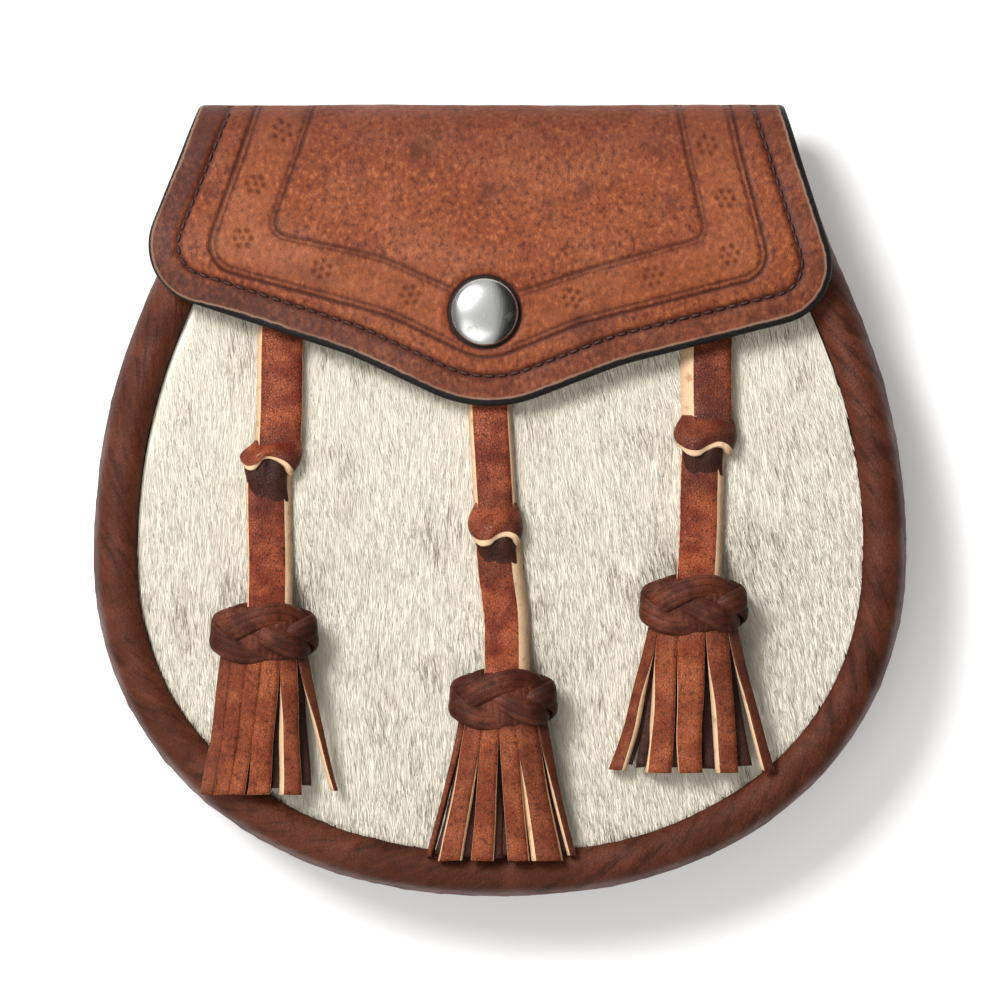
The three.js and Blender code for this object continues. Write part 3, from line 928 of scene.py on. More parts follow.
@dataclass(frozen=True)
class PouchForm:
    """The outlines and heights that the pieces share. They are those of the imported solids."""

    half_width: float = float(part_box("gusset")[1].x) / MM
    widest_y: float = -10.7
    lowest_y: float = float(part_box("gusset")[0].y) / MM
    belly_power: float = 2.17
    shoulder_radius: float = 135.0
    shoulder_lean: float = math.radians(22.5)
    rim_height: float = float(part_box("gusset")[1].z) / MM
    rim_taper: float = 6.5
    rim_width: float = 9.4
    loop_room: float = 7.6
    hide_set_down: float = 2.4
    hide_crown: float = 3.8
    hide_depth: float = 4.5
    gusset_top_y: float = float(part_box("gusset")[1].y) / MM
    hide_top_y: float = float(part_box("hide_front")[1].y) / MM

    def width_at(self, y: Array, inset: float = 0.0) -> Array:
        """Gives half the pouch's width.

        Args:
            y: Heights up the pouch.
            inset: How far inside the silhouette.

        Returns:
            Half the width at each height.
        """
        depth = self.widest_y - self.lowest_y
        below = np.clip((self.widest_y - y) / (depth - inset), 0, 1)
        belly = (self.half_width - inset) * (1 - below**self.belly_power) ** (1 / self.belly_power)
        radius = self.shoulder_radius - inset
        rise = np.maximum(y - self.widest_y, 0)
        arc = np.sqrt(np.maximum(radius**2 - rise**2, 0))
        straight = (radius - rise * math.sin(self.shoulder_lean)) / math.cos(self.shoulder_lean)
        side = self.half_width - self.shoulder_radius
        side = side + np.where(rise < radius * math.sin(self.shoulder_lean), arc, straight)
        return np.where(y <= self.widest_y, belly, side)

    def outline(self, top: float, inset: float = 0.0, count: int = 400) -> Array:
        """Gives the outline from its left top round the bottom to its right top.

        Args:
            top: How high it reaches.
            inset: How far inside the silhouette.
            count: How many points it gets.

        Returns:
            Evenly spaced points, two numbers a row.
        """
        turns = np.linspace(0, math.pi / 2, 160)[:-1]
        depth = self.widest_y - self.lowest_y - inset
        low = self.widest_y - depth * np.cos(turns) ** (2 / self.belly_power)
        low_x = (self.half_width - inset) * np.sin(turns) ** (2 / self.belly_power)
        high = np.linspace(self.widest_y, top, 90)
        right = np.stack([np.concatenate([low_x, self.width_at(high, inset)]), np.concatenate([low, high])], axis=1)
        left = right[:0:-1] * np.array([-1.0, 1.0])
        return resample(np.vstack([left, right]), np.linspace(0, 1, count))

    def back_underside(self, y: Array) -> Array:
        """Gives the height of the back panel's outer side."""
        return self.loop_room * ease(y, -4, 33)

    def rim_crest(self, y: Array) -> Array:
        """Gives the height of the rolled rim's crest."""
        return self.rim_height - self.rim_taper * ease(y, -10, 75)

    def hair_top(self, x: Array, y: Array) -> Array:
        """Gives the height of the top of the lying hair."""
        spread = np.minimum(1, (x / 82) ** 2 + ((y + 8) / 72) ** 2)
        return self.rim_crest(y) - self.hide_set_down + self.hide_crown * (1 - spread)


# ---------------------------------------- back, fold and flap


@dataclass(frozen=True)
class Rosette:
    """A small stamped flower."""

    x: float
    y: float


@dataclass(frozen=True)
class Tooling:
    """What is pressed into the flap, seen from the front."""

    outer_line: Array = field(
        default_factory=lambda: rounded_path(
            [
                Corner(-51.3, 93.0), Corner(-65.2, 52.4, 6.0), Corner(-24.0, 41.2, 50), Corner(-3.4, 31.0, 13),
                Corner(18.0, 39.6, 50), Corner(59.4, 50.2, 5.5), Corner(49.0, 93.0)
            ]
        )
    )
    inner_line: Array = field(
        default_factory=lambda: rounded_path(
            [
                Corner(-39.4, 93.0), Corner(-51.3, 58.6, 3.5), Corner(-26.0, 53.2, 40), Corner(-3.4, 43.0, 3),
                Corner(20.0, 50.6, 40), Corner(46.0, 57.6, 3.5), Corner(38.2, 93.0)
            ]
        )
    )
    rosettes: tuple[Rosette, ...] = (
        Rosette(-48.0, 81.3), Rosette(-53.9, 69.6), Rosette(-56.6, 57.6), Rosette(-39.1, 51.0), Rosette(-19.6, 45.2),
        Rosette(46.2, 78.4), Rosette(50.0, 66.4), Rosette(50.9, 54.0), Rosette(34.0, 49.4), Rosette(16.2, 44.4)
    )
    line_gap: float = 0.65
    petal_ring: float = 1.85
    petals: int = 6
    stitch_inset: float = 6.6

    def press(self, at: Array, edge: Array, snap: Array) -> tuple[Array, Array, Array]:
        """Works out what is pressed where.

        Args:
            at: Points on the flap, two numbers a row.
            edge: How far each is from the cut edge.
            snap: The middle of the snap.

        Returns:
            The depth in millimetres, how much stain has gathered, which rises above 1 only in the painted shadow
            round the snap, and the band between the lines.
        """
        from_snap = np.linalg.norm(at - snap, axis=1)
        clear = ease(from_snap, 8.4, 9.6)
        depth = np.zeros(len(at))
        stain = np.zeros(len(at))
        from_outer = distance_to_path(at, self.outer_line)
        from_inner = distance_to_path(at, self.inner_line)
        held = self.between(at)
        for from_line, gap, strength in ((from_outer, self.line_gap, 0.42), (from_inner, 0.5, 0.34)):
            grooves = np.exp(-(((from_line - gap) / (0.4 - 0.12 * held)) ** 2)) * (1 - 0.3 * held)
            valley = np.exp(-((from_line / 1.6) ** 2))
            depth += clear * strength * (grooves + 0.2 * valley)
            stain = np.maximum(stain, clear * (0.95 * grooves + 0.12 * valley) * strength / 0.42)
        channel = np.exp(-(((edge - self.stitch_inset) / 0.85) ** 2))
        depth += 0.55 * channel
        stain = np.maximum(stain, channel)
        for flower in self.rosettes:
            out = at - np.array([flower.x, flower.y])
            near = np.linalg.norm(out, axis=1) < 2 * self.petal_ring
            spots = np.zeros(int(near.sum()))
            for k in range(self.petals):
                turn = 2 * math.pi * (k + 0.3 * flower.x) / self.petals
                petal = self.petal_ring * np.array([math.cos(turn), math.sin(turn)])
                spots += np.exp(-((np.linalg.norm(out[near] - petal, axis=1) / 0.52) ** 2))
            spots += 0.9 * np.exp(-((np.linalg.norm(out[near], axis=1) / 0.45) ** 2))
            spots = np.minimum(spots, 1)
            depth[near] += 0.5 * spots
            stain[near] = np.maximum(stain[near], 0.75 * spots)
        seat = np.exp(-(((from_snap - 7.9) / 0.75) ** 2))
        depth += 0.5 * seat - 0.22 * np.exp(-(((from_snap - 9.9) / 1.0) ** 2))
        # Painted shadow: a black ring just outside the cap's edge, drawn by a stain above 1.
        stain = np.maximum(stain, 2.0 * np.exp(-(((from_snap - 7.8) / 0.5) ** 2)))
        band = held * ease(from_inner, 0.6, 2.0) * ease(from_outer, 0.6, 2.0)
        return depth, np.clip(stain, 0, 2), band * clear

    def between(self, at: Array) -> Array:
        """Gives 1 for points between the two tooled lines, and 0 for others."""
        inside = [self.encloses(path, at) for path in (self.outer_line, self.inner_line)]
        return (inside[0] & ~inside[1]).astype(float)

    @staticmethod
    def encloses(path: Array, at: Array) -> Array:
        """Tells which points a path encloses when its ends are joined."""
        inside = np.zeros(len(at), bool)
        for start, end in zip(path, np.roll(path, -1, axis=0)):
            crosses = (start[1] > at[:, 1]) != (end[1] > at[:, 1])
            level = at[:, 1] - start[1]
            run = end[1] - start[1] if end[1] != start[1] else 1.0
            inside ^= crosses & (at[:, 0] < start[0] + level * (end[0] - start[0]) / run)
        return inside


def patch_grid(top: Array, bottom: Array, left: Array, right: Array, u: Array, v: Array) -> Array:
    """Fills a four-sided outline with a grid that follows its sides.

    Args:
        top: The path from the left to the right at the top.
        bottom: The path from the left to the right at the bottom.
        left: The path down the left side.
        right: The path down the right side.
        u: The columns' places, from 0 to 1.
        v: The rows' places, from 0 to 1.

    Returns:
        The points, with axes row, column, and x, y.
    """
    t, b = resample(top, u)[None], resample(bottom, u)[None]
    le, ri = resample(left, v)[:, None], resample(right, v)[:, None]
    uu, vv = u[None, :, None], v[:, None, None]
    corners = (
        (1 - uu) * (1 - vv) * top[0] + uu * (1 - vv) * top[-1] + (1 - uu) * vv * bottom[0] + uu * vv * bottom[-1]
    )
    return (1 - vv) * t + vv * b + (1 - uu) * le + uu * ri - corners


def crowded(count: int, margin: Sequence[float], both: bool = True) -> Array:
    """Gives places from 0 to 1 that crowd at the ends, where an edge is rounded.

    Args:
        count: How many evenly spaced places there are, the ends among them.
        margin: Extra places near an end, as distances from it.
        both: Whether both ends get them, and not only the last.

    Returns:
        The places in order.
    """
    even = np.linspace(0, 1, count)
    reach = max(margin)
    inside = even[(even > (reach if both else -1)) & (even < 1 - reach)]
    ends = [1.0] + [1 - m for m in margin] + ([0.0] + list(margin) if both else [])
    return np.unique(np.concatenate([inside, ends]))


@dataclass
class SheetLeather:
    """The one piece that is back panel, fold and flap."""

    form: PouchForm
    palette: Palette
    thickness: float = 2.6
    fold_y: float = 77.2
    fold_z: float = 27.6
    fold_top: float = float(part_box("back_and_flap")[1].y) / MM
    rise: float = 8.0
    droop: float = 4.5
    turn: float = math.radians(2)
    pivot: tuple[float, float] = (-1.0, 88.0)
    back_inset: float = 1.6
    round_mm: tuple[float, ...] = (0.12, 0.35, 0.75, 1.3)

    def __post_init__(self) -> None:
        """Works out the flap's outline, the middle of its snap, and the height and radius of the fold."""
        cut = [Corner(61.75, -8), Corner(79.6, 42.7, 13.5), Corner(30, 57.1, 60), Corner(0, 69.9, 30)]
        right = [self._placed(1, c) for c in cut]
        left = [self._placed(-1, c) for c in cut[:-1]]
        self.outline = rounded_path(right + left[::-1])
        low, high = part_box("snap_cap")
        self.snap = np.array([(low.x + high.x) / 2, (low.y + high.y) / 2]) / MM
        self.back_z = float(self.form.back_underside(np.array(self.fold_y))) + self.thickness / 2
        self.radius = (self.fold_z - self.back_z) / 2

    def _placed(self, side: int, corner: Corner) -> Corner:
        """Turns a corner of the cut, given as out from the middle and down, to how the flap lies."""
        x, y = side * corner.x, -corner.y
        cos, sin = math.cos(self.turn), math.sin(self.turn)
        return Corner(self.pivot[0] + x * cos + y * sin, self.pivot[1] - x * sin + y * cos, corner.radius)

    def span_at(self, y: float) -> tuple[float, float]:
        """Gives where a level line crosses the flap's sides."""
        found = []
        for start, end in zip(self.outline[:-1], self.outline[1:]):
            if start[1] != end[1] and (start[1] - y) * (end[1] - y) <= 0:
                found.append(start[0] + (end[0] - start[0]) * (y - start[1]) / (end[1] - start[1]))
        return min(found), max(found)

    def middle(self, x: Array, y: Array) -> Array:
        """Gives the height of the middle of the flap's leather."""
        droop = self.droop * ease(y, self.fold_y, 40) * (x / 75) ** 2
        return self.fold_z + self.rise * ease(y, self.fold_y, 50) - droop

    def face(self, x: Array, y: Array) -> Array:
        """Gives the height of the flap's outer face."""
        return self.middle(x, y) + self.thickness / 2

    def build(self) -> None:
        """Makes the flap and the back panel."""
        self.build_flap()
        self.build_back()

    def _flap_grid(self) -> tuple[Array, Array, Array]:
        """Lays the grid of the flap's outer face and of the fold.

        Returns:
            The smooth points, their normals, and how far each is from the cut edge.
        """
        arc = 10  # half the steps of a rounded corner: the sides of the grid meet there
        right_stop = 1 + arc
        left_stop = len(self.outline) - 2 - arc
        left_top, right_top = self.span_at(self.fold_y)
        top = np.array([[left_top, self.fold_y], [right_top, self.fold_y]])
        right = np.vstack([top[1], self.outline[1 : right_stop + 1]])
        left = np.vstack([top[0], self.outline[left_stop:-1][::-1]])
        bottom = self.outline[right_stop : left_stop + 1][::-1]
        u = crowded(385, [m / 145 for m in self.round_mm])
        v = crowded(150, [m / 52 for m in self.round_mm], both=False)
        flat = patch_grid(top, bottom, left, right, u, v)
        x, y = flat[..., 0], flat[..., 1]
        step = 0.2
        slope_x = (self.middle(x + step, y) - self.middle(x - step, y)) / (2 * step)
        slope_y = (self.middle(x, y + step) - self.middle(x, y - step)) / (2 * step)
        flap_normals = unit(np.stack([-slope_x, -slope_y, np.ones_like(x)], axis=-1))
        flap = np.stack([x, y, self.middle(x, y)], axis=-1)

        back_out = float(self.form.width_at(np.array(self.fold_y), self.back_inset))
        crest = self.span_at(self.fold_y + self.radius)
        fold, fold_normals = [], []
        turns = np.concatenate([np.linspace(0, 0.5, 11)[:-1], np.linspace(0.5, 1, 46)[:-1]]) * math.pi
        for turn in turns:
            y_here = self.fold_y + self.radius * math.sin(turn)
            share = min(1.0, turn / (math.pi / 2))
            span = self.span_at(y_here)
            if turn < math.pi / 2:
                span = (-back_out + share * (crest[0] + back_out), back_out + share * (crest[1] - back_out))
            across = span[0] + (span[1] - span[0]) * u
            height = self.back_z + self.radius * (1 - math.cos(turn))
            fold.append(np.stack([across, np.full_like(u, y_here), np.full_like(u, height)], axis=-1))
            fold_normals.append(np.tile([0.0, math.sin(turn), -math.cos(turn)], (len(u), 1)))
        middle = np.concatenate([np.array(fold), flap])
        normals = np.concatenate([np.array(fold_normals), flap_normals])
        edge = distance_to_path(middle[..., :2].reshape(-1, 2), self.outline).reshape(middle.shape[:2])
        lean = 0.94
        across = middle[: len(fold), :, 0]
        sides = np.minimum(across - across[:, :1], across[:, -1:] - across) * lean
        edge[: len(fold)] = sides
        return middle, normals, edge

    def build_flap(self) -> None:
        """Makes the flap with its fold, tooled, and its edge stitching."""
        middle, normals, edge = self._flap_grid()
        at = middle[..., :2].reshape(-1, 2)
        depth, stain, band = Tooling().press(at, edge.ravel(), self.snap)
        front = ease(normals[..., 1].ravel() - normals[..., 2].ravel(), 1.12, 0.96)
        front[normals[..., 2].ravel() < 0] = 0
        wave = 0.12 * ripple(middle.reshape(-1, 3), 26.0, 3) + 0.05 * ripple(middle.reshape(-1, 3), 7.0, 4)
        lift = self.thickness / 2 + wave - depth * front - self._rounding(edge.ravel(), 0.95)
        outer = middle.reshape(-1, 3) + normals.reshape(-1, 3) * lift[:, None]
        inner = middle.reshape(-1, 3) - normals.reshape(-1, 3) * (self.thickness / 2)
        # Painted shadow: away from the upper left the edge number is lowered, so the black edge paint and the pale
        # line inside it reach further in.
        below = ease(at[:, 0] - 0.9 * (at[:, 1] - 50), -66, -48)
        values = {"edge_mm": edge.ravel() - 0.75 * below, "stain": stain * front, "band": band * front}
        self._sheet("tooled_flap", outer, inner, edge.shape, values)
        self._stitch_flap()

    def _rounding(self, edge: Array, depth: float) -> Array:
        """Gives how far a face is rounded down near the cut edge, from its distance to it."""
        return depth * (1 - np.sqrt(1 - np.clip(1 - edge / self.round_mm[-1], 0, 1) ** 2))

    def _sheet(self, name: str, outer: Array, inner: Array, shape: Sequence[int], values: dict[str, Array]) -> None:
        """Closes a grained outer face and a coarser flesh side into a sheet, and hands it over.

        Args:
            name: The piece's name.
            outer: Points of the outer face, row by row.
            inner: Points of the inner face, in the same order.
            shape: How many rows and columns of points there are.
            values: What the finish reads, a number for each point.
        """
        rows, columns = shape
        step = 4
        row_stops = sorted(set(list(range(0, rows, step)) + [rows - 1]))
        column_stops = sorted(set(list(range(0, columns, step)) + [columns - 1]))
        keep = np.zeros((rows, columns), bool)
        keep[np.ix_(row_stops, column_stops)] = True
        keep[[0, -1]] = True
        keep[:, [0, -1]] = True
        kept = np.flatnonzero(keep.ravel())
        number = np.full(rows * columns, -1)
        number[kept] = len(outer) + np.arange(len(kept))
        number = number.reshape(rows, columns)
        faces = grid_faces(rows, columns)
        slots = [0] * len(faces)
        for top, bottom in zip(row_stops[:-1], row_stops[1:]):
            for left, right in zip(column_stops[:-1], column_stops[1:]):
                loop = [(top, j) for j in (range(left, right) if top == 0 else [left])]
                loop += [(i, right) for i in (range(top, bottom) if right == columns - 1 else [top])]
                loop += [(bottom, j) for j in (range(right, left, -1) if bottom == rows - 1 else [right])]
                loop += [(i, left) for i in (range(bottom, top, -1) if left == 0 else [bottom])]
                faces.append(tuple(int(number[i, j]) for i, j in loop)[::-1])
                slots.append(1)
        border = grid_border(rows, columns)
        for (i, j), (k, m) in zip(border, border[1:] + border[:1]):
            faces.append((i * columns + j, int(number[i, j]), int(number[k, m]), k * columns + m))
            slots.append(0)
        carried = {key: np.concatenate([value, value[kept]]) for key, value in values.items()}
        form = Form(np.vstack([outer, inner[kept]]), faces, slots, values=carried)
        hand_over(make_object(name, form, [self.palette.tooled, self.palette.suede]), Slot.TAN, "back_and_flap")

    def _stitch_flap(self) -> None:
        """Sews the line inside the flap's edge."""
        inset = Tooling().stitch_inset
        cut = resample(self.outline, np.linspace(0, 1, 900))
        run = np.gradient(cut, axis=0)
        inward = unit(np.stack([run[:, 1], -run[:, 0]], axis=1))
        if float((inward * (np.array([0.0, 60.0]) - cut)).sum()) < 0:
            inward = -inward
        seam = cut + inward * inset
        top = self.fold_top - 2.2
        seam = seam[seam[:, 1] < top]
        seam = resample(seam, np.linspace(0, 1, 260))
        height = self.face(seam[:, 0], seam[:, 1])
        over = np.maximum(seam[:, 1] - self.fold_y, 0)
        outer = self.radius + self.thickness / 2
        fold_height = self.back_z + self.radius + np.sqrt(np.maximum(outer**2 - over**2, 0))
        height = np.where(seam[:, 1] > self.fold_y, fold_height, height)
        normals = np.stack([np.zeros(len(seam)), over / outer, np.sqrt(1 - (over / outer) ** 2)], axis=1)
        path = np.column_stack([seam, height]) - normals * 0.2
        stitches = Seam(path, normals, pitch=2.8, stitch=2.45, width=0.6).build("flap_stitching", self.palette.thread)
        hand_over(stitches, Slot.TAN)

    def build_back(self) -> None:
        """Makes the back panel, with the line that sews it to the gusset."""
        outline = self.form.outline(self.fold_y, self.back_inset, 900)
        corner = 0.36
        stops = [round(corner * 899), round((1 - corner) * 899)]
        left, bottom, right = outline[: stops[0] + 1], outline[stops[0] : stops[1] + 1], outline[stops[1] :][::-1]
        top = np.array([outline[0], outline[-1]])
        u = crowded(121, [m / 120 for m in self.round_mm])
        v = crowded(121, [m / 140 for m in self.round_mm], both=False)
        flat = patch_grid(top, bottom, left, right, u, v)
        at = flat.reshape(-1, 2)
        edge = distance_to_path(at, outline)
        height = self.form.back_underside(at[:, 1])
        step = 0.2
        slope = (self.form.back_underside(at[:, 1] + step) - self.form.back_underside(at[:, 1] - step)) / (2 * step)
        normals = unit(np.stack([np.zeros(len(at)), slope, -np.ones(len(at))], axis=1))
        channel = np.exp(-(((edge - 5.0) / 0.8) ** 2)) * ease(at[:, 1], self.fold_y - 1, self.fold_y - 4)
        outer = np.column_stack([at, height]) - normals * (0.3 * channel + self._rounding(edge, 0.6))[:, None]
        inner = np.column_stack([at, height]) - normals * self.thickness
        values = {"edge_mm": edge, "stain": 0.6 * channel, "band": 0 * edge}
        self._sheet("back_panel", outer, inner, flat.shape[:2], values)
        seam = self.form.outline(self.fold_y - 4, self.back_inset + 5.0, 500)
        normals = np.tile([0.0, 0.0, -1.0], (len(seam), 1))
        path = np.column_stack([seam, self.form.back_underside(seam[:, 1]) + 0.3])
        stitches = Seam(path, normals, pitch=4.0, stitch=3.2, width=0.8).build("back_stitching", self.palette.thread)
        hand_over(stitches, Slot.TAN)


# ---------------------------------------- seams


@dataclass
class Seam:
    """A run of stitches along a path, laid by geometry nodes."""

    path: Array
    normals: Array
    pitch: float
    stitch: float
    width: float

    def build(self, name: str, material: Material) -> Object:
        """Makes the stitches.

        Args:
            name: The object's name.
            material: The thread.

        Returns:
            One mesh of all the stitches.
        """
        mesh = bpy.data.meshes.new(name + "_path")
        links = [(i, i + 1) for i in range(len(self.path) - 1)]
        mesh.from_pydata((self.path * MM).tolist(), links, [])
        store(mesh, "seat", self.normals)
        source = put(name + "_path", mesh)
        stitch = self._stitch(name + "_one")
        tree = self._tree(name + "_nodes")
        made = grow(tree, source, {"Pitch": self.pitch * MM, "Stitch": stitch, "Thread": material}, name)
        bpy.data.objects.remove(stitch)
        return made

    def _stitch(self, name: str) -> Object:
        """Makes one stitch: a short thread that dives into the leather at both ends."""
        rings = []
        for share in np.linspace(0, 1, 7):
            along = (share - 0.5) * self.stitch
            swell = math.sqrt(max(0.0, 1 - (2 * share - 1) ** 4)) * 0.85 + 0.15
            turns = round_turns(8)
            drop = 0.55 * self.width * (2 * share - 1) ** 4
            y = 0.5 * self.width * swell * np.cos(turns)
            z = 0.36 * self.width * swell * np.sin(turns) - drop
            rings.append(np.stack([np.full(8, along), y, z], axis=1))
        return make_object(name, tube_form(np.array(rings)), [])

    @staticmethod
    def _tree(name: str) -> NodeTree:
        """Builds the tree: the path is cut at the pitch, and a stitch is set at each cut."""
        tree, bench, given = geometry_group(name, {"Pitch": "Float", "Stitch": "Object", "Thread": "Material"})
        curve = bench.add("GeometryNodeMeshToCurve", {"Mesh": given["Geometry"]})
        cut = bench.add(
            "GeometryNodeResampleCurve", {"Curve": curve.outputs[0], "Length": given["Pitch"]}, mode="LENGTH"
        )
        seat = bench.add("GeometryNodeInputNamedAttribute", {"Name": "seat"}, data_type="FLOAT_VECTOR")
        turn = bench.add(
            "FunctionNodeAxesToRotation", {0: bench.add("GeometryNodeInputTangent").outputs[0], 1: seat.outputs[0]},
            primary_axis="X", secondary_axis="Z"
        )
        one = bench.add("GeometryNodeObjectInfo", {"Object": given["Stitch"]})
        seats = {"Points": cut.outputs[0], "Instance": one.outputs["Geometry"], "Rotation": turn.outputs[0]}
        laid = bench.add("GeometryNodeInstanceOnPoints", seats)
        finish_group(bench, laid.outputs[0], given["Thread"])
        return tree


def grow(tree: NodeTree, source: Object, inputs: dict[str, Any], name: str) -> Object:
    """Runs a geometry node tree on an object and keeps the result as a plain mesh.

    Args:
        tree: The tree.
        source: The object to run it on, which is then removed.
        inputs: Values for the tree's named inputs.
        name: The result's name.

    Returns:
        The result, at the origin.
    """
    modifier = source.modifiers.new("grow", "NODES")
    modifier.node_group = tree
    for item in tree.interface.items_tree:
        if item.item_type == "SOCKET" and item.in_out == "INPUT" and item.name in inputs:
            modifier[item.identifier] = inputs[item.name]
    depsgraph = bpy.context.evaluated_depsgraph_get()
    mesh = bpy.data.meshes.new_from_object(
        source.evaluated_get(depsgraph), preserve_all_data_layers=True, depsgraph=depsgraph
    )
    mesh.name = name
    source.modifiers.remove(modifier)
    bpy.data.objects.remove(source)
    mesh.polygons.foreach_set("use_smooth", np.ones(len(mesh.polygons), bool))
    return put(name, mesh)


# ---------------------------------------- rolled rim


@dataclass
class RolledRim:
    """The gusset: a wall of leather whose front edge is rolled over the hide as a thick rim."""

    form: PouchForm
    palette: Palette
    thickness: float = 2.0
    base_gap: float = 0.42

    def section(self, y: float) -> Array:
        """Gives the middle of the leather in a cut across the wall.

        Args:
            y: How high up the pouch the cut is.

        Returns:
            Points as inset from the silhouette and height.
        """
        half = self.thickness / 2
        base = float(self.form.back_underside(np.array(y))) + 2.6 + self.base_gap + half
        crest = float(self.form.rim_crest(np.array(y))) - half
        wall = crest - base
        corners = [
            (9.5, base), (4.6, base), (2.6, base + 1.2), (1.5, base + 0.28 * wall), (half, base + 0.5 * wall),
            (1.25, base + 0.7 * wall), (2.3, crest - 1.9), (4.0, crest - 0.4), (6.0, crest), (7.8, crest - 0.6),
            (self.form.rim_width - 0.2, crest - 1.9)
        ]
        return smooth_path(corners, 44)

    def build(self) -> None:
        """Makes the rim and wall."""
        stations = 460
        outline = self.form.outline(self.form.gusset_top_y, 0.0, stations)
        run = unit(np.gradient(outline, axis=0))
        inward = np.stack([-run[:, 1], run[:, 0]], axis=1)
        along = lengths(outline)
        rings = []
        for at, toward in zip(outline, inward):
            section = self.section(float(at[1]))
            direction = unit(np.gradient(section, axis=0))
            across = np.stack([direction[:, 1], -direction[:, 0]], axis=1) * self.thickness / 2
            loop = np.vstack([section - across, (section + across)[::-1]])
            rings.append(np.column_stack([at + toward * loop[:, :1], loop[:, 1]]))
        points = np.array(rings)
        count = points.shape[1]
        flat = points.reshape(-1, 3)
        normals = surface_normals(np.concatenate([points, points[:, :1]], axis=1))[:, :-1].reshape(-1, 3)
        place = np.column_stack([np.repeat(along, count), np.tile(np.arange(count) * 0.8, stations)])
        creases = np.minimum(0, ripple(place * [1.0, 0.35], 5.0, 11)) * 0.16 + ripple(flat, 18.0, 12) * 0.1
        shown = ease(flat[:, 2], 6, 12)
        flat = flat + normals * (creases * shown)[:, None]
        form = tube_form(flat.reshape(points.shape))
        rim = make_object("rolled_rim", form, [self.palette.rim])
        hand_over(rim, Slot.RIM, "gusset")


# ---------------------------------------- hair-on-hide front


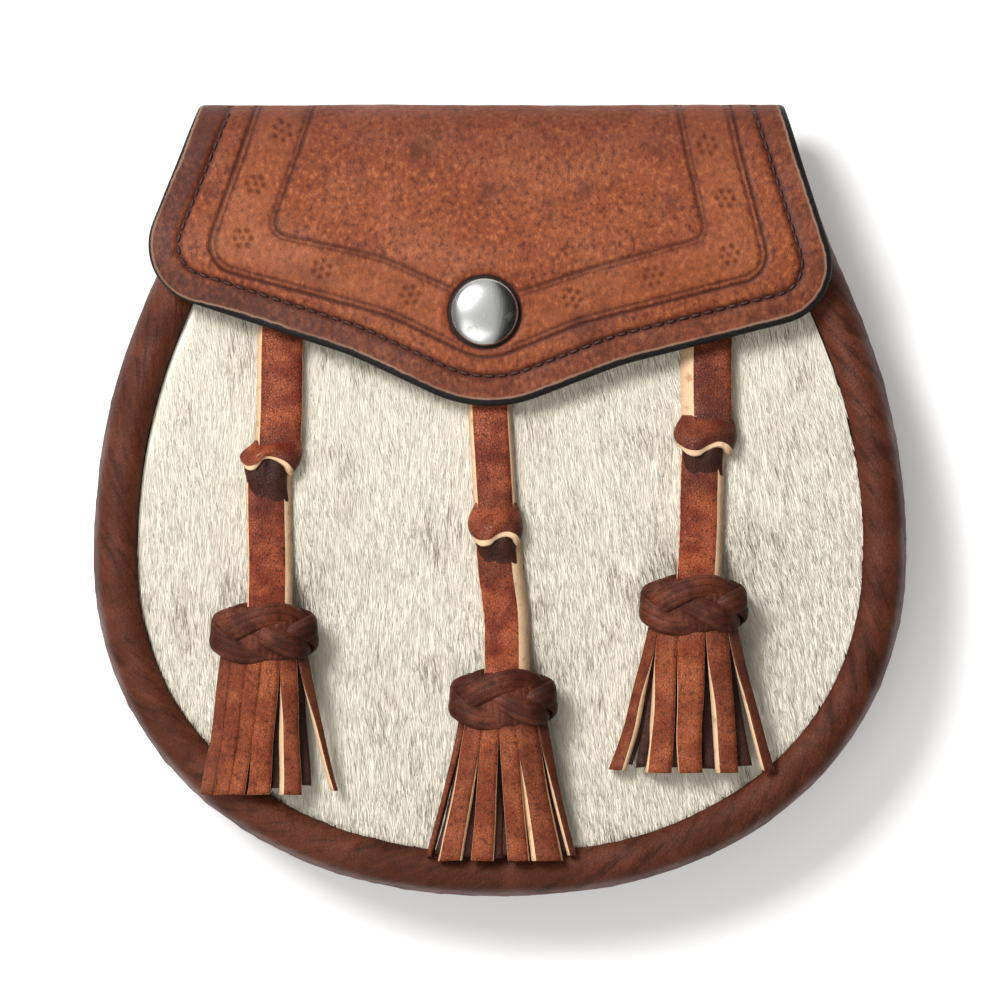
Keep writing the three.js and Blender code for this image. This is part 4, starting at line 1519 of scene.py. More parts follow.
@dataclass
class HideFront:
    """The front panel: a skin with short hair that lies down the pouch."""

    form: PouchForm
    palette: Palette
    hair_room: float = 1.3
    hair_length: float = 8.5
    hair_width: float = 0.22
    coats: int = 3
    strands_per_coat: int = 16800

    def _grid(self, inset: float) -> Array:
        """Lays rings from the middle of the hide to its edge, seen from the front."""
        outline = self.form.outline(self.form.hide_top_y, inset, 300)
        top = np.linspace(outline[-1], outline[0], 62)[1:-1]
        edge = np.vstack([outline, top])
        centre = np.array([0.0, -4.0])
        shares = np.concatenate([[0.004], np.linspace(0.03, 1, 44)])
        return centre + shares[:, None, None] * (edge - centre)

    def build(self) -> None:
        """Makes the skin and its coats of hair."""
        grid = self._grid(self.form.rim_width + 0.7)
        x, y = grid[..., 0], grid[..., 1]
        top = self.form.hair_top(x, y) - self.hair_room
        upper = np.dstack([x, y, top])
        lower = np.dstack([x, y, self.form.hair_top(x, y) - self.form.hide_depth])
        form = tube_form(np.concatenate([upper, lower[::-1]]))
        form.uv = None
        skin = make_object("hide_skin", form, [self.palette.skin])
        hand_over(skin, Slot.HIDE, "hide_front")
        self._grow_hair(upper)

    def _grow_hair(self, surface: Array) -> None:
        """Grows the coats.

        Args:
            surface: The skin's outer side, ring by ring.
        """
        rings, around = surface.shape[:2]
        flat = surface.reshape(-1, 3)
        blade = self._blade()
        tree = self._tree()
        area = 0.0
        for coat in range(self.coats):
            mesh = bpy.data.meshes.new("hide_scalp")
            mesh.from_pydata((flat * MM).tolist(), [], [f[::-1] for f in grid_faces(rings, around, wrap=True)])
            if sum(p.normal.z for p in mesh.polygons) < 0:
                mesh.flip_normals()
            if not area:
                area = sum(p.area for p in mesh.polygons)
            flow, reach = self._flow(flat)
            store(mesh, "flow", flow)
            store(mesh, "reach", reach)
            scalp = put("hide_scalp", mesh)
            inputs = {
                "Density": self.strands_per_coat / area, "Seed": 21 + coat, "Strand": blade,
                "Length": self.hair_length * MM, "Width": self.hair_width * MM, "Hair": self.palette.hair
            }
            hair = grow(tree, scalp, inputs, f"hair_coat_{coat + 1}")
            hair.visible_shadow = False  # white hair lets light through
            hand_over(hair, Slot.HIDE)
        bpy.data.objects.remove(blade)

    def _flow(self, flat: Array) -> tuple[Array, Array]:
        """Works out which way the hair lies, and how long it may be.

        Args:
            flat: Points of the skin.

        Returns:
            Directions, and lengths as shares of the full length.
        """
        x, y = flat[:, 0], flat[:, 1]
        lean = np.radians(4 + 9 * ease(x, -30, 60) + 7 * ripple(flat[:, :2], 34.0, 31) + 4 * ripple(flat, 9.0, 32))
        fx, fy = np.sin(lean), -np.cos(lean)
        climb = (self.form.hair_top(x + fx, y + fy) - self.form.hair_top(x - fx, y - fy)) / 2
        flow = np.stack([fx, fy, climb], axis=1)
        inset = self.form.rim_width
        share = np.clip(np.abs(x) / (self.form.half_width - inset), 0, 1) ** self.form.belly_power
        depth = self.form.widest_y - self.form.lowest_y - inset
        edge_y = self.form.widest_y - depth * (1 - share) ** (1 / self.form.belly_power)
        reach = np.clip((y - edge_y + 2.5) / self.hair_length, 0.3, 1)
        return flow, reach

    @staticmethod
    def _blade() -> Object:
        """Makes one strand, one unit long and one unit wide, which bends over and ends in a point."""
        rows = [(0.0, 0.8, -0.6), (0.5, 1.0, 0.5)]
        points: list[tuple[float, float, float]] = []
        for along, width, height in rows:
            points += [
                (-0.5 * width, along, height), (0.5 * width, along, height), (0.0, along, height + 0.22 * width)
            ]
        points.append((0.0, 1.0, 0.1))
        faces: list[tuple[int, ...]] = [(0, 1, 2)]
        faces += [(k, (k + 1) % 3, 3 + (k + 1) % 3, 3 + k) for k in range(3)]
        faces += [(3 + k, 3 + (k + 1) % 3, 6) for k in range(3)]
        return make_object("hair_strand", Form(np.array(points) / MM, faces, [0] * len(faces)), [])

    @staticmethod
    def _tree() -> NodeTree:
        """Builds the tree: strands are scattered over the skin, laid along the flow and lifted a little."""
        kinds = {"Density": "Float", "Seed": "Int", "Strand": "Object", "Length": "Float", "Width": "Float"}
        tree, bench, given = geometry_group("hair_nodes", {**kinds, "Hair": "Material"})
        seed = given["Seed"]
        sown = {"Mesh": given["Geometry"], "Density": given["Density"], "Seed": seed}
        spread = bench.add("GeometryNodeDistributePointsOnFaces", sown)
        flow = bench.add("GeometryNodeInputNamedAttribute", {"Name": "flow"}, data_type="FLOAT_VECTOR")
        reach = bench.add("GeometryNodeInputNamedAttribute", {"Name": "reach"}, data_type="FLOAT")
        bounds = {0: (-0.18, -0.1, 0.012), 1: (0.18, 0.1, 0.075)}
        stray = bench.add("FunctionNodeRandomValue", {**bounds, "Seed": seed}, data_type="FLOAT_VECTOR")
        way = bench.vector("ADD", {0: flow.outputs[0], 1: stray.outputs[0]})
        turn = bench.add(
            "FunctionNodeAxesToRotation", {0: way, 1: spread.outputs["Normal"]}, primary_axis="Y", secondary_axis="Z"
        )
        chance = bench.add("FunctionNodeRandomValue", {2: 0.6, 3: 1.15, "Seed": seed}, data_type="FLOAT")
        long = bench.times(bench.times(chance.outputs[1], reach.outputs[0]), given["Length"])
        thick = given["Width"]
        size = bench.add("ShaderNodeCombineXYZ", {"X": thick, "Y": long, "Z": thick})
        one = bench.add("GeometryNodeObjectInfo", {"Object": given["Strand"]})
        seats = {"Points": spread.outputs["Points"], "Instance": one.outputs["Geometry"]}
        placing = {**seats, "Rotation": turn.outputs[0], "Scale": size.outputs[0]}
        laid = bench.add("GeometryNodeInstanceOnPoints", placing)
        other = bench.math("ADD", seed, 7.0)
        tone = bench.add("FunctionNodeRandomValue", {"Seed": other}, data_type="FLOAT")
        marked = bench.add(
            "GeometryNodeStoreNamedAttribute",
            {"Geometry": laid.outputs[0], "Name": "strand_tone", "Value": tone.outputs[1]}, data_type="FLOAT",
            domain="INSTANCE"
        )
        finish_group(bench, marked.outputs[0], given["Hair"])
        return tree


# ---------------------------------------- tassels


@dataclass(frozen=True)
class Run:
    """A stretch of strap: where it passes, how wide it is, how much pale cut edge shows on each side, and how much
    painted shade darkens it.
    """

    points: tuple[tuple[float, float], ...]
    width: float
    pale_left: float
    pale_right: float
    painted_shade_and_tone: float = 0.0


@dataclass(frozen=True)
class Strip:
    """One strip of a fringe, by where its middle is at root and tip from the middle of the tassel."""

    root: float
    tip: float
    root_width: float
    tip_width: float
    pale_left: float = 0.0
    pale_right: float = 0.0
    level: float = 0.0
    length: float = 1.0
    # Set where the strip's face is drawn in the darker leather that stands in for shade.
    painted_shade_and_tone: bool = False


@dataclass(frozen=True)
class TasselSizes:
    """What differs from tassel to tassel."""

    side: Side
    upper: Run
    knot: tuple[float, float]
    knot_edge: tuple[tuple[float, float], ...]
    lower: Run
    strips: tuple[Strip, ...]
    fringe_length: float


@dataclass
class Tassel:
    """A strap with its knot, a braided head and a cut fringe."""

    form: PouchForm
    palette: Palette
    sizes: TasselSizes
    strap_thickness: float = 2.1
    strip_thickness: float = 1.7
    lace_width: float = 5.4
    lace_thickness: float = 1.5

    def __post_init__(self) -> None:
        """Takes the head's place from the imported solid."""
        side = self.sizes.side.value
        low, high = (np.array(corner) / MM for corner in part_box(f"tassel_head_{side}"))
        self.head_centre = (low + high) / 2
        self.head_size = high - low
        self.lie = float(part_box(f"tassel_fringe_{side}")[0].z) / MM

    def build(self) -> None:
        """Makes the strap, the head and the fringe."""
        self._build_strap()
        self._build_head()
        self._build_fringe()

    def _seat(self, x: Array, y: Array) -> Array:
        """Gives the height of the strap's underside: on the hair, and rising into the head."""
        head_top = self.head_centre[1] + self.head_size[1] / 2
        hair = self.form.hair_top(x, y) + 0.25
        lift = (self.head_centre[2] - 1.2 - hair) * ease(y, head_top + 9, head_top - 1)
        return hair + lift

    def _band(self, run: Run, seed: int) -> Form:
        """Makes a stretch of strap."""
        stations = 60
        path = smooth_path(run.points, stations)
        direction = unit(np.gradient(path, axis=0))
        across = np.stack([-direction[:, 1], direction[:, 0]], axis=1)
        across *= np.sign(across[:, :1])
        seat = self._seat(path[:, 0], path[:, 1])
        wave = ripple(path, 11.0, seed) * 0.25
        half = run.width / 2
        wander = ripple(path, 2.2, seed + 1) * 0.09
        top = self.strap_thickness
        rings = []
        for i in range(stations):
            left, right = half + wander[i], half - wander[i]
            lip_left, lip_right = max(run.pale_left + wander[i], 0.12), max(run.pale_right - wander[i], 0.12)
            crown = np.linspace(-1, 1, 7)
            xs = np.concatenate(
                [[-left + 0.15, -left], np.linspace(-left + lip_left, right - lip_right, 7), [right, right - 0.15]]
            )
            zs = np.concatenate([[0, 0.35], top + 0.22 * (1 - crown**2), [0.35, 0]])
            zs = zs + wave[i]
            plane = path[i] + xs[:, None] * across[i]
            rings.append(np.column_stack([plane, seat[i] + zs]))
        form = tube_form(np.array(rings), [1, 1, 0, 0, 0, 0, 0, 0, 1, 1, 1])
        # Painted shade: the strap is darkened by its run's share, and more near the knot.
        knot_y = self.sizes.knot[1]
        y = form.points[:, 1]
        near_knot = ease(np.abs(y - knot_y), 13, 7) * (0.35 if y.mean() > knot_y else 0.5)
        form.values["painted_shade_and_tone"] = np.clip(run.painted_shade_and_tone + near_knot, 0, 1)
        return form

    def _knot_cap(self) -> Form:
        """Makes the turn of strap that folds over the knot, with the pale S of its cut edge."""
        x0, y0 = self.sizes.knot
        edge = smooth_path(self.sizes.knot_edge, 33) + [x0, y0]
        shares = np.concatenate([np.linspace(0, 0.86, 20), [0.88, 0.93, 0.97, 1.0]])
        uu, vv = np.meshgrid(np.linspace(-1, 1, 33), shares)
        end = np.array(self.sizes.upper.points[-1])
        half = self.sizes.upper.width / 2 - 0.2
        top_x = end[0] + uu * half
        bulge = 1.5 * np.sin(math.pi * np.clip(vv, 0, 1)) * uu * np.abs(uu)
        x = top_x + (edge[None, :, 0] - top_x) * ease(vv, 0, 1) + bulge
        top_y = y0 + 7.6
        y = top_y + (edge[None, :, 1] - top_y) * vv
        swell = np.sqrt(np.clip(1 - (np.abs(uu) * 0.97) ** 3, 0, 1))
        height = 1.9 + 3.2 * ease(vv, 0.0, 0.6) * swell - 1.7 * (1 - swell) * ease(vv, 0, 0.5)
        height += 0.35 * np.sin(uu * 5 + vv * 4) * ease(vv, 0.2, 0.8) - 0.25 * ease(vv, 0.86, 0.9)
        z = self.form.hair_top(x, y) + 0.3 + height
        form = slab_form(np.dstack([x, y, z]), 1.5)
        lip = int((shares < 0.87).sum()) - 1
        columns = uu.shape[1] - 1
        for k in range(lip * columns, (len(shares) - 1) * columns):
            form.slots[k] = 1
        # Painted shade: the cap darkens towards its lower edge and its right side, and takes the upper strap's
        # painted shade.
        dark = 0.3 * ease(vv, 0.3, 0.8) + 0.5 * ease(uu, 0.1, 0.9) + self.sizes.upper.painted_shade_and_tone
        form.values["painted_shade_and_tone"] = np.tile(np.clip(dark, 0, 1).ravel(), 2)
        return form

    def _knot_funnel(self) -> Form:
        """Makes the pinched strap that comes out under the cap."""
        x0, y0 = self.sizes.knot
        uu, vv = np.meshgrid(np.linspace(-1, 1, 21), np.linspace(0, 1, 22))
        target = self.sizes.lower.points[0][0]
        x = x0 - 0.4 + (target - x0 + 0.4) * vv + uu * (5.0 - 0.5 * ease(vv, 0.1, 0.8))
        y = y0 + 3.6 - 9.4 * vv - 0.8 * (1 - uu**2) * vv
        swell = np.sqrt(np.clip(1 - (np.abs(uu) * 0.97) ** 3, 0, 1))
        height = 0.9 + 2.4 * (1 - ease(vv, 0.35, 1)) * swell + 1.3 * swell
        height -= 0.7 * np.exp(-(((uu - 0.3 + 0.5 * vv) / 0.2) ** 2)) * (1 - vv)
        height -= 0.5 * np.exp(-(((uu + 0.5 - 0.4 * vv) / 0.16) ** 2)) * (1 - vv)
        z = self.form.hair_top(x, y) + 0.1 + height
        form = slab_form(np.dstack([x, y, z]), 1.3)
        # Painted shade: the whole funnel is drawn in the darker leather that stands in for shade, and darkens more
        # towards its top and right, under the cap.
        form.slots = [2] * len(form.slots)
        form.values["painted_shade_and_tone"] = np.tile((0.5 * (1 - vv) * ease(uu, -0.6, 0.4)).ravel(), 2)
        return form

    def _build_strap(self) -> None:
        """Makes the strap, and its knot as a second piece."""
        side = self.sizes.side
        seed = {Side.LEFT: 40, Side.MIDDLE: 50, Side.RIGHT: 60}[side]
        bands = join_forms([self._band(self.sizes.upper, seed), self._band(self.sizes.lower, seed + 5)])
        strap = make_object(f"strap_band_{side.value}", bands, [self.palette.strap, self.palette.cut])
        hand_over(strap, Slot.STRAP, f"strap_{side.value}")
        knot = join_forms([self._knot_funnel(), self._knot_cap()])
        finishes = [self.palette.strap, self.palette.cut, self.palette.fold]
        lump = make_object(f"strap_knot_{side.value}", knot, finishes)
        hand_over(lump, Slot.STRAP)

    def _build_head(self) -> None:
        """Makes the braid: three laces plaited round a core."""
        leads, bights = 3, 4
        steps = 420
        turn = np.linspace(0, 2 * math.pi * leads, steps, endpoint=False)
        swing = bights * turn / leads + 0.5
        reach_x = self.head_size[0] / 2 - self.lace_thickness / 2 - 0.5
        reach_z = self.head_size[2] / 2 - self.lace_thickness / 2 - 0.9
        round_off = 1 - 0.5 * np.abs(np.cos(turn)) ** 3
        height = (self.head_size[1] / 2 - self.lace_width * 0.42) * np.cos(swing) * round_off
        over = 0.85 * np.sin(2 * swing)
        barrel = 1 - 0.1 * np.cos(swing) ** 2
        x = self.head_centre[0] + (reach_x * barrel + over) * np.cos(turn)
        z = self.head_centre[2] + (reach_z * barrel + over) * np.sin(turn)
        y = self.head_centre[1] + height
        path = np.stack([x, y, z], axis=1)
        run = unit(np.roll(path, -1, axis=0) - np.roll(path, 1, axis=0))
        outward = unit(np.stack([np.cos(turn) / reach_x, np.zeros(steps), np.sin(turn) / reach_z], axis=1))
        outward -= run * (outward * run).sum(axis=1, keepdims=True)
        outward = unit(outward)
        across = np.cross(run, outward)
        angles = round_turns(14)
        flat_x = self.lace_width / 2 * np.sign(np.cos(angles)) * np.abs(np.cos(angles)) ** 0.6
        flat_z = self.lace_thickness / 2 * np.sign(np.sin(angles)) * np.abs(np.sin(angles)) ** 0.8
        flat_z = flat_z - 0.5 * (flat_x / (self.lace_width / 2)) ** 2
        rings = path[:, None] + flat_x[:, None] * across[:, None] + flat_z[:, None] * outward[:, None]
        form = tube_form(rings, closed=True)
        form = form.joined(self._core())
        out = (form.points[:, 0] - self.head_centre[0]) / self.head_size[0]
        # Painted shade: the braid darkens towards its right side, and a little at its left end.
        form.values["painted_shade_and_tone"] = 0.7 * ease(out, 0.05, 0.45) + 0.35 * ease(out, -0.3, -0.5)
        name = f"tassel_braid_{self.sizes.side.value}"
        braid = make_object(name, form, [self.palette.braid])
        hand_over(braid, Slot.BRAID, f"tassel_head_{self.sizes.side.value}")

    def _core(self) -> Form:
        """Makes the core under the braid."""
        rings = []
        turns = round_turns(48)
        for share in np.linspace(-1, 1, 13):
            swell = 0.78 * math.sqrt(max(0.05, 1 - 0.35 * share**2))
            x = self.head_centre[0] + self.head_size[0] / 2 * swell * np.cos(turns)
            z = self.head_centre[2] + self.head_size[2] / 2 * swell * np.sin(turns)
            y = np.full(48, self.head_centre[1] + 0.45 * self.head_size[1] * share)
            rings.append(np.stack([x, y, z], axis=1))
        return tube_form(np.array(rings))

    def _strip(self, strip: Strip, seed: int) -> Form:
        """Makes one strip of the fringe."""
        stations = 24
        share = np.linspace(0, 1, stations)
        root_y = self.head_centre[1] - self.head_size[1] / 2 + 2.5
        tip_y = root_y - 2.5 - self.sizes.fringe_length * strip.length
        half_root = 9.6
        round_root = np.sqrt(max(0.0, 1 - (strip.root / half_root) ** 2))
        depth_root = self.head_size[2] * 0.36
        z_root = self.head_centre[2] + depth_root * round_root * (1 if strip.level >= 0 else -0.6) - 0.8
        z_tip = self.lie + 1.2 + 2.4 * strip.level + 2.0 * round_root
        y = root_y + (tip_y - root_y) * share
        x = self.head_centre[0] + strip.root + (strip.tip - strip.root) * (0.75 * share + 0.25 * share**2)
        x = x + ripple(np.column_stack([y, y * 0]), 26.0, seed) * 0.35 * share
        z = z_root + (z_tip - z_root) * ease(share, 0.0, 0.95) + ripple(np.column_stack([y, x]), 16.0, seed + 1) * 0.3
        width = strip.root_width + (strip.tip_width - strip.root_width) * share
        rings = []
        top = self.strip_thickness
        slope = depth_root * strip.root / half_root**2 / max(round_root, 0.45)
        tilt = slope * (1 - 0.45 * share) if strip.level >= 0 else 0 * share
        for i in range(stations):
            half = width[i] / 2
            cut = float(ease(share[i], 0.14, 0.6))
            left, right = max(0.85 * strip.pale_left * cut, 0.05), max(0.85 * strip.pale_right * cut, 0.05)
            crown = np.linspace(-half + left, half - right, 5)
            xs = np.concatenate([[-half + 0.1, -half], crown, [half, half - 0.1]])
            zs = np.concatenate([[0, 0.25], top + 0.14 * (1 - np.linspace(-1, 1, 5) ** 2), [0.25, 0]])
            zs = zs - tilt[i] * xs
            slant = 0.5 * math.sin(3.1 * seed) * (xs / half) * share[i] ** 6
            rings.append(np.column_stack([x[i] + xs, y[i] + slant, z[i] - top + zs]))
        # Painted shade: marked strips get the darker leather on their faces, and the back layer gets it on its edges.
        face = 2 if strip.painted_shade_and_tone else 0
        side = 2 if strip.level < 0 else 1
        form = tube_form(np.array(rings), [side, side, face, face, face, face, side, side, side])
        # Partly a random tone per strip, partly painted shade: darker towards the tassel's right, a little towards
        # its left, and just under the braid.
        out = strip.root / half_root
        chance = 0.25 * (0.5 + 0.5 * math.sin(7.3 * seed))
        tone = chance + 0.55 * ease(out, 0.35, 0.95) + 0.2 * ease(out, -0.4, -0.95)
        top_shade = 0.35 * ease(share, 0.16, 0.0)
        form.values["painted_shade_and_tone"] = np.clip(np.repeat(tone + top_shade, len(xs)), 0, 1)
        return form

    def _build_fringe(self) -> None:
        """Makes the fringe as one piece of many strips."""
        forms = [self._strip(strip, 70 + i) for i, strip in enumerate(self.sizes.strips)]
        side = self.sizes.side.value
        finishes = [self.palette.fringe, self.palette.cut, self.palette.fold]
        fringe = make_object(f"fringe_strips_{side}", join_forms(forms), finishes)
        hand_over(fringe, Slot.STRAP, f"tassel_fringe_{side}")


TASSELS = (
    TasselSizes(
        side=Side.LEFT,
        upper=Run(((-47.8, 47.0), (-48.6, 35.5), (-48.8, 20.0), (-49.2, 10.0)), 10.2, 1.0, 0.1),
        knot=(-51.6, 5.6),
        knot_edge=((-5.6, 2.8), (-4.2, 1.0), (-2.0, 1.6), (-0.5, 3.3), (1.6, 3.3), (4.2, 1.9), (5.6, -0.6)),
        lower=Run(((-51.1, 6.0), (-51.0, -4.0), (-50.8, -14.0), (-50.8, -26.0)), 10.0, 0.4, 1.6),
        strips=(
            Strip(-8.3, -12.6, 2.6, 3.1),
            Strip(-5.3, -9.4, 3.5, 3.4, level=0.2),
            Strip(-1.9, -6.1, 3.4, 3.3, level=0.3),
            Strip(1.7, -1.8, 3.9, 5.0, level=0.4),
            Strip(5.4, 5.6, 3.6, 5.0, pale_left=1.2, level=0.3),
            Strip(8.4, 15.6, 2.5, 1.7, pale_left=0.9, level=0.2, length=0.97),
            Strip(-5.0, -8.0, 5.0, 5.4, level=-0.6, length=0.97, painted_shade_and_tone=True),
            Strip(0.0, -1.0, 5.0, 5.2, level=-0.6, length=0.97, painted_shade_and_tone=True),
            Strip(3.6, 2.8, 4.0, 3.0, level=-0.5, length=0.95, painted_shade_and_tone=True),
            Strip(7.0, 8.8, 3.0, 2.6, level=-0.6, length=0.93, painted_shade_and_tone=True),
        ),
        fringe_length=29.2,
    ),
    TasselSizes(
        side=Side.MIDDLE,
        upper=Run(((-2.6, 33.0), (-2.3, 20.0), (-1.6, 8.0), (-0.9, -3.5)), 9.4, 0.9, 0.8, 0.15),
        knot=(-1.0, -8.2),
        knot_edge=((-5.2, -0.3), (-3.6, -1.9), (-1.2, -1.8), (0.4, -0.5), (2.4, 0.2), (4.2, -0.5), (5.0, -2.2)),
        lower=Run(((-0.5, -8.6), (0.3, -17.0), (1.4, -26.0), (1.6, -40.0)), 10.0, 0.1, 2.4),
        strips=(
            Strip(-8.9, -16.4, 1.6, 1.6, pale_right=0.6, level=-0.1, length=0.97),
            Strip(-6.4, -11.7, 3.8, 5.4, pale_left=0.4, pale_right=0.6, level=0.2),
            Strip(-2.8, -4.7, 3.8, 5.1, pale_right=0.3, level=0.3),
            Strip(-0.6, -0.7, 2.6, 2.6, pale_right=0.9, level=-0.2, length=0.98, painted_shade_and_tone=True),
            Strip(1.0, 3.4, 4.0, 4.8, pale_right=0.3, level=0.4),
            Strip(5.0, 9.8, 4.6, 7.0, pale_left=1.2, pale_right=0.4, level=0.2),
            Strip(8.5, 15.2, 2.4, 1.9, pale_left=0.7, level=0.1, length=0.96),
            Strip(-7.0, -14.0, 3.0, 2.0, level=-0.6, length=0.95, painted_shade_and_tone=True),
            Strip(-3.6, -8.2, 4.0, 3.8, level=-0.6, length=0.97, painted_shade_and_tone=True),
            Strip(0.0, 0.4, 4.0, 4.0, level=-0.6, length=0.96, painted_shade_and_tone=True),
            Strip(4.0, 6.0, 4.0, 3.6, level=-0.6, length=0.97, painted_shade_and_tone=True),
            Strip(7.0, 13.0, 3.0, 2.2, level=-0.6, length=0.94, painted_shade_and_tone=True),
        ),
        fringe_length=29.2,
    ),
    TasselSizes(
        side=Side.RIGHT,
        upper=Run(((46.2, 47.0), (45.7, 35.0), (45.6, 24.0), (45.8, 15.5)), 11.4, 2.9, 0.1, 0.4),
        knot=(45.2, 11.2),
        knot_edge=((-6.0, 0.8), (-3.9, -1.1), (-1.4, -1.5), (0.6, -0.3), (2.8, 0.7), (4.6, 0.2), (5.8, -1.6)),
        lower=Run(((44.9, 11.0), (44.6, 2.0), (44.4, -8.0), (43.6, -20.0)), 9.7, 0.1, 1.4),
        strips=(
            Strip(-8.8, -16.6, 2.2, 4.0, pale_right=1.2, level=0.1, length=0.98),
            Strip(-6.9, -11.7, 2.4, 2.2, level=-0.2, length=0.96, painted_shade_and_tone=True),
            Strip(-5.8, -7.7, 4.4, 6.0, pale_left=0.9, level=0.3),
            Strip(-0.6, -1.0, 6.4, 5.3, pale_left=0.2, level=0.4),
            Strip(3.4, 3.4, 3.0, 3.2, level=-0.4, length=0.97, painted_shade_and_tone=True),
            Strip(5.0, 7.7, 5.0, 5.1, pale_left=1.2, level=0.3),
            Strip(8.4, 16.5, 2.4, 3.0, pale_left=0.8, level=0.2, length=0.98),
            Strip(-6.6, -14.2, 3.0, 2.2, level=-0.6, length=0.94, painted_shade_and_tone=True),
            Strip(-3.4, -4.2, 4.0, 3.6, level=-0.6, length=0.96, painted_shade_and_tone=True),
            Strip(1.0, 1.2, 4.0, 3.8, level=-0.6, length=0.96, painted_shade_and_tone=True),
            Strip(6.0, 11.4, 3.4, 3.2, level=-0.6, length=0.95, painted_shade_and_tone=True),
        ),
        fringe_length=30.6,
    ),
)


# ---------------------------------------- snap and belt loops


@dataclass
class DomeSnap:
    """The cap of the snap on the flap."""

    palette: Palette
    sheet: SheetLeather
    radius: float = 7.5
    height: float = 3.1

    def build(self) -> None:
        """Makes the cap, and dresses the stud under the flap."""
        x, y = self.sheet.snap
        seat = float(self.sheet.face(np.array(x), np.array(y))) - 0.1
        profile = [(0.05, -1.2), (2.2, -1.2), (2.2, 0.05), (self.radius - 1.0, 0.05), (self.radius - 0.25, 0.2)]
        profile += [(self.radius, 0.55), (self.radius - 0.04, 0.85)]
        for turn in np.linspace(0.14, math.pi / 2 - 0.01, 22):
            profile.append((self.radius * math.cos(turn), 0.8 + (self.height - 0.8) * math.sin(turn) ** 0.92))
        turns = round_turns(96)
        rings = np.array(
            [
                np.stack([x + r * np.cos(turns), y + r * np.sin(turns), np.full(96, seat + z)], axis=1)
                for r, z in profile
            ]
        )
        form = tube_form(rings)
        form.uv = None
        cap = make_object("snap_dome", form, [self.palette.nickel])
        hand_over(cap, Slot.METAL, "snap_cap")
        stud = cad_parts["snap_stud"]
        stud.data.materials.clear()
        stud.data.materials.append(self.palette.nickel)


@dataclass
class BeltLoop:
    """A strip on the back that the sporran belt passes through."""

    palette: Palette
    side: Side
    width: float = 22.0
    low: float = 34.5
    high: float = 79.5
    foot: float = 5.0
    slope: float = 4.5
    thickness: float = 2.0
    face: float = 7.25

    def build(self) -> None:
        """Makes the strip and the stitches of its two feet."""
        node = f"belt_loop_{self.side.value}"
        low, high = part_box(node)
        centre = (low.x + high.x) / 2 / MM
        drop = self.face - self.thickness
        corners = [
            (self.low, 0.0), (self.low + self.foot - 0.8, 0.0), (self.low + self.foot + 0.8, 0.35),
            (self.low + self.foot + self.slope - 0.8, drop - 0.35), (self.low + self.foot + self.slope + 1.2, drop),
            (self.high - self.foot - self.slope - 1.2, drop), (self.high - self.foot - self.slope + 0.8, drop - 0.35),
            (self.high - self.foot - 0.8, 0.35), (self.high - self.foot + 0.8, 0.0), (self.high, 0.0)
        ]
        path = np.array(corners)
        path = resample(path, np.linspace(0, 1, 90))
        across = np.linspace(-self.width / 2, self.width / 2, 25)
        outer = self.face - self.thickness - path[:, 1]
        crown = 0.15 * (1 - (across / (self.width / 2)) ** 4)
        grid = np.dstack(
            [np.tile(centre + across, (90, 1)), np.tile(path[:, :1], (1, 25)), outer[:, None] - crown[None] + 0.15]
        )
        form = slab_form(grid, self.thickness, toward=-UP)
        loop = make_object(f"{node}_strip", form, [self.palette.rim, self.palette.cut])
        hand_over(loop, Slot.RIM, node)
        inset = 1.9
        half = self.width / 2 - inset
        for foot_y, end in ((self.low + self.foot / 2, "low"), (self.high - self.foot / 2, "high")):
            seam = np.array([[centre - half, foot_y], [centre + half, foot_y]])
            seam = resample(seam, np.linspace(0, 1, 30))
            path3 = np.column_stack([seam, np.full(30, self.face - self.thickness + 0.05)])
            normals = np.tile([0.0, 0.0, -1.0], (30, 1))
            name = f"{node}_stitching_{end}"
            stitches = Seam(path3, normals, pitch=3.0, stitch=2.4, width=0.8).build(name, self.palette.thread)
            hand_over(stitches, Slot.RIM)


# ---------------------------------------- studio


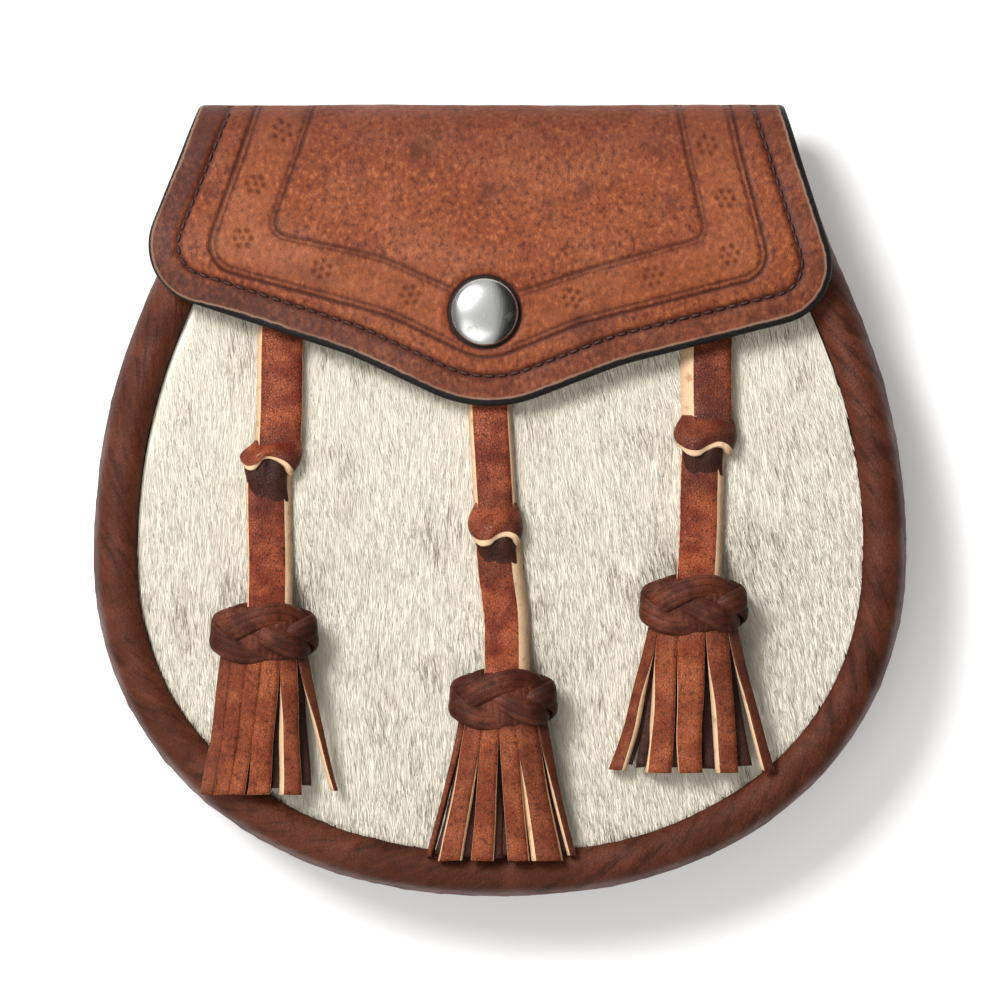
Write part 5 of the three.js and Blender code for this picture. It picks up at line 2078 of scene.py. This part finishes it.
@dataclass
class Studio:
    """The floor, the light and the camera."""

    frame_width: float = 222.2
    distance: float = 2500.0
    sensor: float = 36.0
    above_floor: float = 20.0
    reach: float = 3000.0

    def build(self) -> None:
        """Sets the stage."""
        self._floor()
        self._lights()
        self._camera()
        view = bpy.context.scene.view_settings
        view.view_transform = "Standard"
        view.look = "None"

    def _floor(self) -> None:
        """Lays a plain pale floor."""
        points = self.reach * np.array([[-1.0, -1, 0], [1, -1, 0], [1, 1, 0], [-1, 1, 0]])
        material, bench, shader, _ = new_material("pale_floor")
        glow = {"Emission Color": (1.0, 1.0, 1.0, 1.0), "Emission Strength": 0.2}
        bench.feed(shader, {"Base Color": (0.88, 0.88, 0.88, 1.0), "Roughness": 0.9, **glow})
        floor = make_object("floor", Form(points, [(0, 1, 2, 3)], [0]), [material])

    @staticmethod
    def _area_light(name: str, place: Vector, size: float, energy: float) -> None:
        """Adds a soft light that looks at the pouch."""
        data = bpy.data.lights.new(name, "AREA")
        data.shape = "SQUARE"
        data.size = size
        data.energy = energy
        lamp = put(name, data)
        lamp.location = place
        lamp.rotation_euler = (-place).to_track_quat("-Z", "Y").to_euler()

    def _lights(self) -> None:
        """Sets a soft key at the upper left, a weaker fill, and a surround that is brightest at the far left and dark
        to the right.
        """
        self._area_light("key", Vector((-0.75, 0.75, 1.5)), 0.6, 34.0)
        self._area_light("fill", Vector((-0.5, -0.9, 1.4)), 1.2, 6.0)
        world = bpy.data.worlds.new("surround")
        world.use_nodes = True
        background = world.node_tree.nodes["Background"]
        bench = NodeBench(world.node_tree)
        toward = bench.add("ShaderNodeTexCoord").outputs["Generated"]
        right = bench.part(toward, 0)
        far_left = bench.span(right, -0.45, -0.8)
        sky = bench.blend(far_left, (1.3, 1.28, 1.23, 1.0), (0.45, 0.45, 0.44, 1.0))
        sky = bench.blend(bench.span(right, 0.16, 0.42), sky, (0.035, 0.034, 0.032, 1.0))
        bench.feed(background, {"Color": sky, "Strength": 0.62})
        bpy.context.scene.world = world

    def _camera(self) -> None:
        """Hangs the camera straight above the pouch."""
        data = bpy.data.cameras.new("camera")
        data.sensor_width = self.sensor
        data.lens = self.sensor * self.distance / self.frame_width
        data.clip_end = 20.0
        camera = put("camera", data)
        camera.location = (0.0, 0.0, (self.distance + self.above_floor) * MM)
        bpy.context.scene.camera = camera


# ---------------------------------------- assembly


def main() -> None:
    """Builds the sporran's looks and the studio."""
    logging.basicConfig(level=logging.INFO, format="%(name)s %(message)s")
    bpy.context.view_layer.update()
    palette = Palette()
    form = PouchForm()
    sheet = SheetLeather(form, palette)
    sheet.build()
    RolledRim(form, palette).build()
    HideFront(form, palette).build()
    for sizes in TASSELS:
        Tassel(form, palette, sizes).build()
    DomeSnap(palette, sheet).build()
    for side in (Side.LEFT, Side.RIGHT):
        BeltLoop(palette, side).build()
    Studio().build()


if __name__ == "__main__":
    main()
